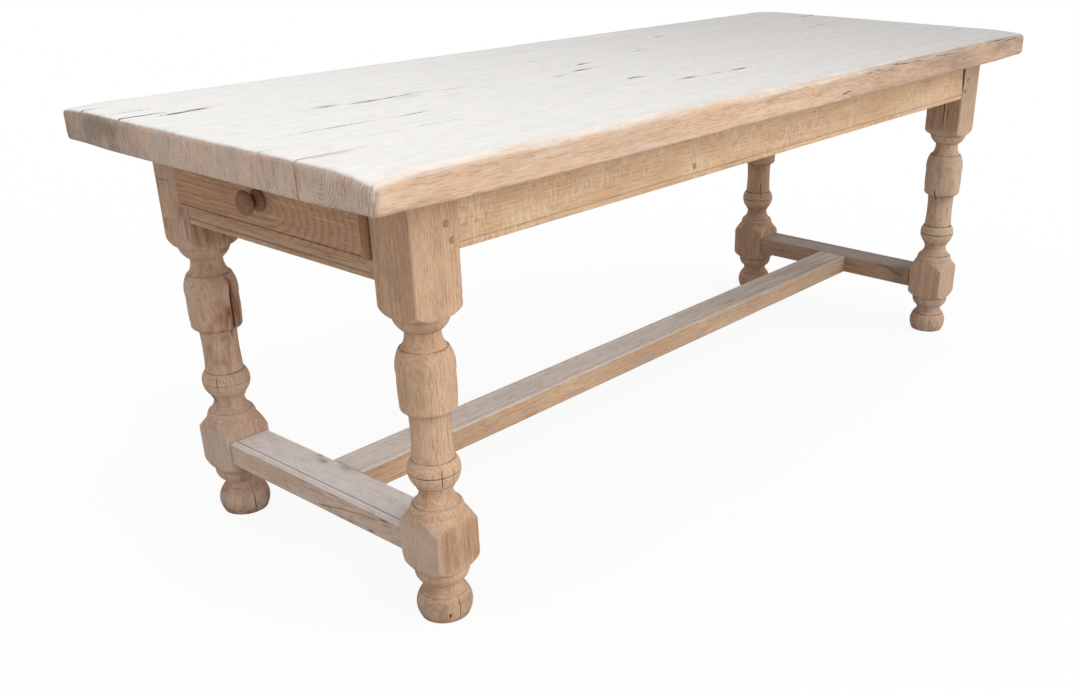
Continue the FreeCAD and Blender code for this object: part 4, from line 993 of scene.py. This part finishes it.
for name, piece in legs.items():
    pith = np.multiply(legShape["spot"], piece["side"]) + pithOff
    tones = {**legTones, **piece["tones"], "pith": pith.tolist(), "seed": piece["seed"] * 5.3}
    leg(name, piece, oakFinish(f"strippedOak_{name}", along=2, **tones))
print("legs made")

# Aprons and rails
acrossReach = 0.2415  # half length of what runs across between the legs, a little let into them
apron = {
    "face": 0.331, "back": 0.301, "low": 0.622, "high": 0.7145, "reach": 0.8385, "bead": 10 * mm,
    "beadWidth": 1.3 * mm, "beadDepth": 1.8 * mm, "tenon": (0.310, 0.322, 0.631, 0.699, 0.05),
}


# Long apron: a board with a bead scored along its lower edge and a tenon at each end
def longApron(name, node, side, material, seed, gap=0.0):
    shape = apron
    line = shape["low"] + shape["bead"]
    faceLow, faceHigh = sorted((side * shape["back"], side * shape["face"]))

    # The shoulder at the far end has opened at its top
    def openShoulder(points):
        moved = points.copy()
        share = smoothStep(shape["reach"] - 0.05, shape["reach"], points[:, 0])
        level = smoothStep(shape["low"] + 0.01, shape["high"], points[:, 2])
        moved[:, 0] -= gap * share * (0.15 + 0.85 * level)
        return moved

    board = {
        "steps": (12 * mm, 10 * mm, 6 * mm), "edge": 2.5 * mm, "lines": ((), (), [(line, 1.3 * mm)]),
        "along": 0, "wear": 0.5 * mm, "wearCell": (0.15, 0.04, 0.03), "seed": seed, "reshape": openShoulder,
        "cuts": [groove(1, side, 2, line, shape["beadWidth"], shape["beadDepth"], 0.3)],
    }
    low, high = (-shape["reach"], faceLow, shape["low"]), (shape["reach"], faceHigh, shape["high"])
    tenons = [apronTenon(side, end, seed + 1) for end in (-1, 1)]
    shells = joinShells([wornBoard(low, high, board), *tenons])
    return makePiece(name, *shells, "frame", [node], "frame_oak", material)


def apronTenon(side, end, seed):
    near, far, low, high, length = apron["tenon"]
    board = {
        "steps": (12 * mm, 6 * mm, 12 * mm), "edge": 0.8 * mm, "along": 0, "seed": seed, "wear": 0.1 * mm,
    }
    first, second = sorted((end * (apron["reach"] - 8 * mm), end * (apron["reach"] + length)))
    nearY, farY = sorted((side * near, side * far))
    return wornBoard((first, nearY, low), (second, farY, high), board)


# A board across the table with a line scored along its outer face: the face's sign, the line's level,
# width and depth, and how dirty it is
def acrossBoard(name, node, body, slot, board, material):
    sign, level, width, depth, dirt = board["scored"]
    scored = {"lines": ((), (), [(level, width)]), "cuts": [groove(0, sign, 2, level, width, depth, dirt)]}
    shell = wornBoard(board["low"], board["high"], {**board, **scored, "along": 1})
    return makePiece(name, *shell, body, [node], slot, material)


apronTones = {
    "light": shown(225, 192, 156), "deep": shown(210, 173, 132), "rays": 0.72, "grain": 0.1, "line": 0.17,
    "pore": 0.32,
}
longApron("apron_front", "front_apron", -1,
          oakFinish("apronOak", along=0, pith=(-0.20, 0.60), seed=41.0, **apronTones), 31, 8 * mm)
longApron("apron_back", "back_apron", 1,
          oakFinish("backApronOak", along=0, pith=(0.25, 0.80), seed=47.0, **apronTones), 32)
endApron = {
    "low": (0.898, -acrossReach, 0.622), "high": (0.928, acrossReach, 0.7145),
    "scored": (1, 0.632, apron["beadWidth"], apron["beadDepth"], 0.3),
    "steps": (10 * mm, 12 * mm, 6 * mm), "edge": 2.5 * mm, "wearCell": (0.04, 0.15, 0.03), "seed": 33,
}
acrossBoard("apron_end", "end_apron", "frame", "frame_oak", endApron,
            oakFinish("endApronOak", along=1, pith=(0.99, 0.60), seed=53.0))
drawerRail = {
    "low": (-0.928, -acrossReach, 0.578), "high": (-0.888, acrossReach, 0.609),
    "scored": (-1, 0.5875, apron["beadWidth"], apron["beadDepth"], 0.4),
    "steps": (8 * mm, 8 * mm, 4 * mm), "edge": 2.2 * mm, "wearCell": (0.03, 0.12, 0.02), "seed": 34,
}
acrossBoard("drawer_rail_board", "drawer_rail", "frame", "frame_oak", drawerRail,
            oakFinish("railOak", along=1, pith=(-0.97, 0.64), seed=59.0))
print("aprons and rail made")

# Stretchers
stretcher = {
    "low": 0.117, "high": 0.163, "half": 41 * mm, "spot": 0.883, "bead": 15 * mm, "smallBead": 4.5 * mm,
    # scored lines: width, depth and dirt
    "beadLine": (1.2 * mm, 1.6 * mm, 0.62), "smallLine": (0.9 * mm, 0.9 * mm, 0.4),
    "centreLines": ((1.0 * mm, 1.2 * mm, 0.55), (1.0 * mm, 1.2 * mm, 0.2)),
    # the centre stretcher's crack and the dark spot about it
    "centreCrack": [(0.29, -0.013), (0.37, -0.010)], "centreSpot": (0.327, -0.013, 0.022, 0.007),
}


# Dark spots on a flat top: x, y, length and width of each
def darkSpots(points, spots, strength):
    apart = [((points[:, 0] - x) / length) ** 2 + ((points[:, 1] - y) / width) ** 2
             for x, y, length, width in spots]
    return sum([strength * np.exp(-each) for each in apart], np.zeros(len(points)))


# End stretcher: a flat bar with two lines scored beside its outer top edge and cracks in the face to
# the drawer end
def endStretcher(name, piece, material):
    shape, side, seed = stretcher, piece["side"], piece["seed"]
    outer = side * (shape["spot"] + shape["half"])
    inner = side * (shape["spot"] - shape["half"])
    lines = [outer - side * shape[bead] for bead in ("bead", "smallBead")]

    # Dirt in the joint at the low Y end, which stands a little open
    def openEnd(points, normals):
        return 0.0, 0.6 * smoothStep(6 * mm, 3 * mm, points[:, 1] + acrossReach)

    cuts = [groove(2, 1, 0, lines[0], *shape["beadLine"]), groove(2, 1, 0, lines[1], *shape["smallLine"])]
    cuts += [crack(0, -1, 1, 2, path, width * mm, depth * mm, seed + order, 0.85)
             for order, (path, width, depth) in enumerate(piece["cracks"])]
    board = {
        "steps": (6 * mm, 3 * mm, 1.0 * mm), "edge": 4.5 * mm, "along": 1, "wear": 0.7 * mm, "seed": seed,
        "lines": ([(place, 1.2 * mm) for place in lines], (), ()), "wearCell": (0.03, 0.10, 0.03),
        "cuts": [*cuts, openEnd],
        "marks": lambda points, normals: {"stain": darkSpots(points, piece["spots"], 0.75)},
    }
    low = (min(outer, inner), -acrossReach, shape["low"])
    high = (max(outer, inner), acrossReach, shape["high"])
    return makePiece(name, *wornBoard(low, high, board), "frame", [piece["node"]], "frame_oak", material)


# Centre stretcher: a flat bar with a line scored beside each top edge, greyer and dirtier towards the
# far end
def centreStretcher(material):
    shape = stretcher
    reach = shape["spot"] - shape["half"] + 1 * mm
    lines = [side * (shape["half"] - shape["bead"]) for side in (-1, 1)]
    cuts = [groove(2, 1, 1, place, *line) for place, line in zip(lines, shape["centreLines"])]
    cuts += [crack(2, 1, 0, 1, shape["centreCrack"], 1.6 * mm, 4 * mm, 78, 0.8)]

    def farMarks(points, normals):
        up = smoothStep(0.3, 0.9, normals[:, 2])
        share = smoothStep(-0.3, 0.75, points[:, 0]) * (0.3 + 0.45 * up)
        share = share * (0.8 + 0.2 * roughNoise(points, (0.1, 0.02, 0.02), 145))
        return {"stain": np.maximum(share, up * darkSpots(points, [shape["centreSpot"]], 0.8))}

    board = {
        "steps": (8 * mm, 5 * mm, 3 * mm), "edge": 4 * mm, "along": 0, "wear": 0.7 * mm, "marks": farMarks,
        "lines": ((), [(place, 1.2 * mm) for place in (*lines, -0.012)], ()),
        "wearCell": (0.14, 0.03, 0.03), "seed": 37, "cuts": cuts,
    }
    low, high = (-reach, -shape["half"], shape["low"]), (reach, shape["half"], shape["high"])
    shell = wornBoard(low, high, board)
    return makePiece("stretcher_centre", *shell, "frame", ["centre_stretcher"], "frame_oak", material)


stretcherTones = {
    "bleach": 0.95, "pale": shown(234, 226, 219), "paleGrey": shown(208, 198, 190),
    "greyLine": shown(140, 128, 118), "stained": shown(124, 111, 98), "mottle": 0.6, "paleMottle": 0.5,
    "paleFleck": 0.3, "stainStreak": 0.3,
}
nearTones = {
    **stretcherTones, "light": shown(220, 200, 186), "deep": shown(204, 182, 166),
    "pale": shown(240, 235, 233), "paleGrey": shown(216, 208, 204),
}
# The far stretcher's darker tones are painted shade for its place under the far end of the table
farShadedTones = {
    **stretcherTones, "light": shown(184, 154, 134), "deep": shown(166, 136, 116),
    "pale": shown(156, 146, 140), "paleGrey": shown(136, 127, 121),
}
# cracks: path along y and z, half width and depth in millimetres
nearStretcher = {
    "node": "near_stretcher", "side": -1, "seed": 35,
    "cracks": [([(-0.02, 0.1582), (-0.09, 0.1578), (-0.17, 0.1575), (-0.232, 0.1551)], 0.5, 2),
               ([(0.0, 0.1225), (-0.0754, 0.1363), (-0.1366, 0.1473), (-0.20, 0.1525)], 0.8, 5),
               ([(-0.05, 0.1205), (-0.107, 0.1215), (-0.18, 0.1245)], 0.55, 3)],
    "spots": ((-0.858, 0.047, 0.007, 0.012), (-0.851, -0.006, 0.006, 0.018), (-0.846, 0.07, 0.005, 0.008)),
}
farStretcher = {
    "node": "far_stretcher", "side": 1, "seed": 36,
    "cracks": [([(-0.138, 0.1605), (-0.1755, 0.1575), (-0.1945, 0.1466), (-0.225, 0.1395)], 0.9, 4)],
    "spots": ((0.842, -0.21, 0.01, 0.03),),
}
endStretcher("stretcher_near", nearStretcher,
             oakFinish("nearStretcherOak", along=1, pith=(-0.86, 0.20), seed=61.0, **nearTones))
endStretcher("stretcher_far", farStretcher,
             oakFinish("farStretcherOak", along=1, pith=(0.90, 0.10), seed=67.0, **farShadedTones))
centreStretcher(oakFinish("centreStretcherOak", along=0, pith=(0.05, 0.08), seed=71.0, **stretcherTones))
print("stretchers made")

# Drawer
drawerFront = {
    "low": (-0.944, -0.2385, 0.6105), "high": (-0.922, 0.2385, 0.712),
    "scored": (-1, 0.6175, 1.2 * mm, 1.6 * mm, 0.5),
    "steps": (6 * mm, 6 * mm, 4 * mm), "edge": 2.2 * mm, "wearCell": (0.03, 0.12, 0.04),
    "wear": 0.35 * mm, "seed": 38,
}
drawerTones = {
    "ring": 9 * mm, "drift": 7 * mm, "driftAlong": 4.0, "grain": 0.48, "line": 0.1, "ringWander": 1.4,
    "tilt": (-0.5, -0.01), "ringRipple": 0.7, "relief": 0.25, "endShare": 1.0,
    "endColour": shown(166, 130, 103), "light": shown(197, 154, 120), "deep": shown(181, 138, 105),
}
acrossBoard("drawer_front_board", "drawer_front", "drawer", "drawer_oak", drawerFront,
            oakFinish("drawerOak", along=1, pith=(-0.944, 0.650), seed=73.0, **drawerTones))

# Turned knob: radius and distance from the drawer front in millimetres, carried round the knob's axis
knobShape = {
    "line": ((7, -14), (7, 0), (16.5, 0), (17.8, 2.5), (18, 5), (15, 8.5), (10.5, 12), (8.5, 14),
             (10.5, 16.2), (16, 19.5), (19.2, 22.5), (20, 25), (19.4, 28), (17, 31), (14, 32.6), (8, 33),
             (0.4, 33)),
    "spot": (-0.944, 0.0, 0.66125), "columns": 72, "step": 1 * mm, "neck": 14 * mm,
}


def knob(material):
    rough = np.array(knobShape["line"], float) * mm
    radius, out = evenLine(rough[:, 0], rough[:, 1], knobShape["step"])
    angles = np.linspace(0, 2 * np.pi, knobShape["columns"], endpoint=False)
    angle, row = np.meshgrid(angles, np.arange(len(radius)))
    shape = np.stack([-out[row], radius[row] * np.cos(angle), -radius[row] * np.sin(angle)], -1)
    shape = shape.reshape(-1, 3)
    worn = 0.35 * mm * (0.5 + 0.5 * roughNoise(shape, 0.012, 5))
    ends = np.array([[-out[0], 0, 0], [-out[-1], 0, 0]])
    points = np.concatenate([shape - unitRows(shape * [0, 1, 1]) * worn[:, None], ends]) + knobShape["spot"]
    # Painted shade darkens the knob's narrow neck
    dirt = 0.6 * bump(out[row].ravel() - knobShape["neck"], 2.5 * mm)
    marks = {**turnedMarks(points, *angle.shape, dirt), "endGrain": np.zeros(len(points))}
    faces = closedFaces(*angle.shape)
    return makePiece("knob", points, faces, marks, "drawer", ["drawer_knob"], "knob_oak", material)


knob(oakFinish("knobOak", along=0, pith=(0.012, 0.65), seed=79.0, fleck=0.15, light=shown(166, 124, 100),
               deep=shown(144, 106, 84), dark=shown(96, 66, 50), grey=shown(150, 116, 96),
               worn=shown(190, 150, 122), warm=shown(160, 112, 84)))
print("drawer front and knob made")

# Pegs: short rods with a domed, slightly faceted end, proud of the face by a hair
pegs = {
    "radius": 5.3 * mm, "proud": 0.25 * mm, "length": 14 * mm, "sides": 24,
    # from the root to the tip: share of the radius, share of the length, dirt
    "rings": ((1.0, -1.0, 0.9), (1.0, -0.12, 0.9), (0.985, -0.03, 0.8), (0.9, 0.0, 0.25), (0.55, 0.018, 0.05),
              (0.02, 0.022, 0.0)),
    # how far in from the leg's inner face, and how high, for the two pegs of a joint
    "places": ((26 * mm, 0.665), (16 * mm, 0.639)),
    # where the peg of the cross rail stands along the long apron, and how high
    "railPlace": (-0.2685, 0.645),
}


def peg(place, axis, sign, seed):
    rings = np.array(pegs["rings"])
    angles = np.linspace(0, 2 * np.pi, pegs["sides"], endpoint=False)
    angle, row = np.meshgrid(angles, np.arange(len(rings)))
    facets = 1 + 0.035 * np.cos(8 * angle + seed) + 0.02 * np.cos(3 * angle + 2 * seed)
    reach = pegs["radius"] * rings[row, 0] * facets
    out = sign * (pegs["proud"] + pegs["length"] * rings[row, 1])
    first, second = [other for other in range(3) if other != axis]
    shape = np.zeros((angle.size, 3))
    shape[:, axis] = out.ravel()
    shape[:, first] = (reach * np.cos(angle)).ravel()
    shape[:, second] = (reach * np.sin(angle)).ravel()
    rows, columns = angle.shape
    faces = gridFaces(rows, columns)
    faces += [list(range(columns))[::-1], list(range((rows - 1) * columns, rows * columns))]
    if (sign < 0) != (axis == 1):
        faces = [face[::-1] for face in faces]
    zero = np.zeros(len(shape))
    dirt = rings[row, 2].ravel()
    marks = {"bleached": zero, "endGrain": zero + 1, "rubbed": zero, "stain": zero, "dirt": dirt}
    return shape + np.array(place), faces, marks


# Pegs in the outer faces of all legs for the long aprons, and in the far faces for the end apron
def legPegs():
    half = 0.5 * legShape["width"]
    spotX, spotY = legShape["spot"]
    made = []
    for sideX, sideY, (inset, level) in itertools.product((-1, 1), (-1, 1), pegs["places"]):
        place = (sideX * (spotX - half + inset), sideY * (spotY + half), level)
        made.append(peg(place, 1, sideY, len(made)))
    for sideY, (inset, level) in itertools.product((-1, 1), pegs["places"]):
        made.append(peg((spotX + half, sideY * (spotY - half + inset), level), 0, 1, len(made)))
    return joinShells(made)


pegOak = oakFinish("pegOak", along=1, pith=(0.3, 0.9), seed=83.0, endColour=shown(150, 116, 84), endShare=0.8)
makePiece("pegs_in_legs", *legPegs(), "frame", ["apron_pegs"], "peg_oak", pegOak)
along, level = pegs["railPlace"]
railPegs = [peg((along, sideY * apron["face"], level), 1, sideY, 3) for sideY in (-1, 1)]
makePiece("pegs_in_aprons", *joinShells(railPegs), "frame", ["cross_rail_pegs"], "peg_oak", pegOak)

# Patch let into the left leg, with dirt in the line round it
patch = {
    "low": (-0.929, 0.288, 0.575), "high": (-0.919, 0.324, 0.645), "steps": (3 * mm, 2.5 * mm, 4 * mm),
    "edge": 0.8 * mm, "along": 2, "seed": 39, "wear": 0.15 * mm,
}


def patchRim(points, normals):
    apart = [np.minimum(points[:, axis] - patch["low"][axis], patch["high"][axis] - points[:, axis])
             for axis in (1, 2)]
    return 0.0, 0.55 * bump(np.minimum(*apart), 1.4 * mm)


patchShell = wornBoard(patch["low"], patch["high"], {**patch, "cuts": [patchRim]})
makePiece("patch", *patchShell, "frame", ["leg_patch"], "frame_oak",
          oakFinish("patchOak", along=2, pith=(-0.86, 0.36), seed=89.0, light=shown(212, 178, 150),
                    deep=shown(196, 160, 132)))
print("pegs and patch made")

# Pieces that keep their own solids: inside the frame and drawer
innerTones = {"pith": (0.6, 0.5), "light": shown(190, 152, 112), "deep": shown(166, 128, 92)}
longOak = oakFinish("innerOakLong", along=0, seed=91.0, **innerTones)
acrossOak = oakFinish("innerOakAcross", along=1, seed=93.0, **innerTones)
sideOak = oakFinish("drawerSideOak", along=0, pith=(0.6, 0.5), seed=95.0, light=shown(168, 128, 98),
                    deep=shown(148, 110, 82))


# Dull forged iron, browner where it has rusted
def ironFinish():
    material, shader, start = newMaterial("dullIron")
    place = start.node("ShaderNodeTexCoord", {}, {}, 3)
    rust = start.node("ShaderNodeTexNoise", {}, {"Vector": place, "Scale": 420.0, "Detail": 3.0})
    rust = rust.between(0.45, 0.65)
    colour = rust.blend(shown(70, 66, 62), shown(96, 62, 42))
    start.feed(shader, {"Base Color": colour, "Roughness": 0.45 + rust * 0.4, "Metallic": 0.85 - rust * 0.7})
    return material


iron = ironFinish()
keptNodes = {
    "cross_rail": acrossOak, "drawer_runner_front": longOak, "drawer_runner_back": longOak,
    "drawer_guide_front": longOak, "drawer_guide_back": longOak, "top_tongues": longOak,
    "top_buttons": acrossOak, "drawer_side_front": sideOak, "drawer_side_back": sideOak,
    "drawer_back": acrossOak, "drawer_bottom": acrossOak, "guide_nails": iron, "button_screws": iron,
    "drawer_nails": iron,
}
for node, material in keptNodes.items():
    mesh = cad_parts[node].data
    mesh.materials.clear()
    mesh.materials.append(material)
print("inner pieces finished")

# Floor, lights and camera
stage = {
    "floorHalf": 40.0, "floorWhite": 0.62, "floorSeen": 0.98, "shadowShare": 0.10, "skyLight": 0.55,
    # lamps: name, direction, strength, spread in degrees, colour
    "suns": (("front", (-0.2, 0.85, -0.4), 1.6, 60, (1.0, 0.985, 0.96)),
             ("above", (0.05, 0.1, -1.0), 0.8, 90, (1.0, 1.0, 1.0))),
}


def paleFloor():
    half = stage["floorHalf"]
    mesh = bpy.data.meshes.new("floor")
    corners = [(-half, -half, 0), (half, -half, 0), (half, half, 0), (-half, half, 0)]
    mesh.from_pydata(corners, [], [(0, 1, 2, 3)])
    floor = bpy.data.objects.new("floor", mesh)
    bpy.context.scene.collection.objects.link(floor)
    material = bpy.data.materials.new("paleFloor")
    material.use_nodes = True
    tree = material.node_tree
    tree.nodes.clear()
    start = Wire(tree, None)
    seen = start.node("ShaderNodeLightPath", {}, {}, "Is Camera Ray")
    grey, white = [(value, value, value, 1) for value in (stage["floorWhite"], stage["floorSeen"])]
    diffuse = start.node("ShaderNodeBsdfDiffuse", {}, {"Color": seen.blend(grey, white)})
    glow = start.node("ShaderNodeEmission", {}, {"Color": (1, 1, 1, 1), "Strength": 1.0})
    shade = start.node("ShaderNodeMixShader", {}, {0: seen * (1 - stage["shadowShare"]), 1: diffuse, 2: glow})
    output = tree.nodes.new("ShaderNodeOutputMaterial")
    tree.links.new(shade.socket, output.inputs["Surface"])
    mesh.materials.append(material)


# White where the camera or a reflection sees it, a soft even light for everything else
def paleWorld():
    world = bpy.data.worlds.new("studio")
    bpy.context.scene.world = world
    world.use_nodes = True
    tree = world.node_tree
    tree.nodes.clear()
    start = Wire(tree, None)
    rays = [start.node("ShaderNodeLightPath", {}, {}, ray)
            for ray in ("Is Camera Ray", "Is Glossy Ray", "Is Transmission Ray")]
    seen = start.math("MAXIMUM", start.math("MAXIMUM", rays[0], rays[1]), rays[2])
    strength = stage["skyLight"] + (1 - stage["skyLight"]) * seen
    light = start.node("ShaderNodeBackground", {}, {"Color": (1, 1, 1, 1), "Strength": strength})
    output = tree.nodes.new("ShaderNodeOutputWorld")
    tree.links.new(light.socket, output.inputs["Surface"])


# A broad lamp as a sun with a wide disc, aimed along a direction
def addSun(name, towards, strength, spread, colour):
    lamp = bpy.data.lights.new(name, "SUN")
    lamp.energy = strength
    lamp.angle = np.radians(spread)
    lamp.color = colour
    holder = bpy.data.objects.new(name, lamp)
    back = -np.array(towards) / np.linalg.norm(towards)
    side = np.cross([0, 0, 1], back)
    side /= np.linalg.norm(side)
    turn = np.stack([side, np.cross(back, side), back], 1)
    holder.matrix_world = Matrix(turn.tolist()).to_4x4()
    bpy.context.scene.collection.objects.link(holder)


cameraPlace = {
    "spot": (-1.9387, -1.5620, 1.1072), "yaw": -0.8981, "pitch": 0.4438, "roll": 0.0060, "focal": 1154.99,
    "centre": (649.78, 429.72), "picture": (1080, 692), "sensor": 36.0,
}


# The camera looks along +Y at zero angles; yaw turns it about Z, pitch tips it down, roll turns the picture
def addCamera():
    place = cameraPlace
    yaw, pitch, roll = place["yaw"], place["pitch"], place["roll"]
    ahead = np.array([-np.sin(yaw) * np.cos(pitch), np.cos(yaw) * np.cos(pitch), -np.sin(pitch)])
    right = np.array([np.cos(yaw), np.sin(yaw), 0])
    up = np.cross(right, ahead)
    right, up = right * np.cos(roll) + up * np.sin(roll), up * np.cos(roll) - right * np.sin(roll)
    lens = bpy.data.cameras.new("camera")
    width, height = place["picture"]
    lens.sensor_width = place["sensor"]
    lens.lens = place["focal"] / width * place["sensor"]
    lens.shift_x = (0.5 * width - place["centre"][0]) / width
    lens.shift_y = (place["centre"][1] - 0.5 * height) / width
    camera = bpy.data.objects.new("camera", lens)
    turn = Matrix(np.stack([right, up, -ahead], 1).tolist()).to_4x4()
    turn.translation = place["spot"]
    camera.matrix_world = turn
    bpy.context.scene.collection.objects.link(camera)
    bpy.context.scene.camera = camera


paleFloor()
paleWorld()
for sun in stage["suns"]:
    addSun(*sun)
addCamera()
bpy.context.scene.view_settings.view_transform = "Standard"
print("stage, lights and camera set")
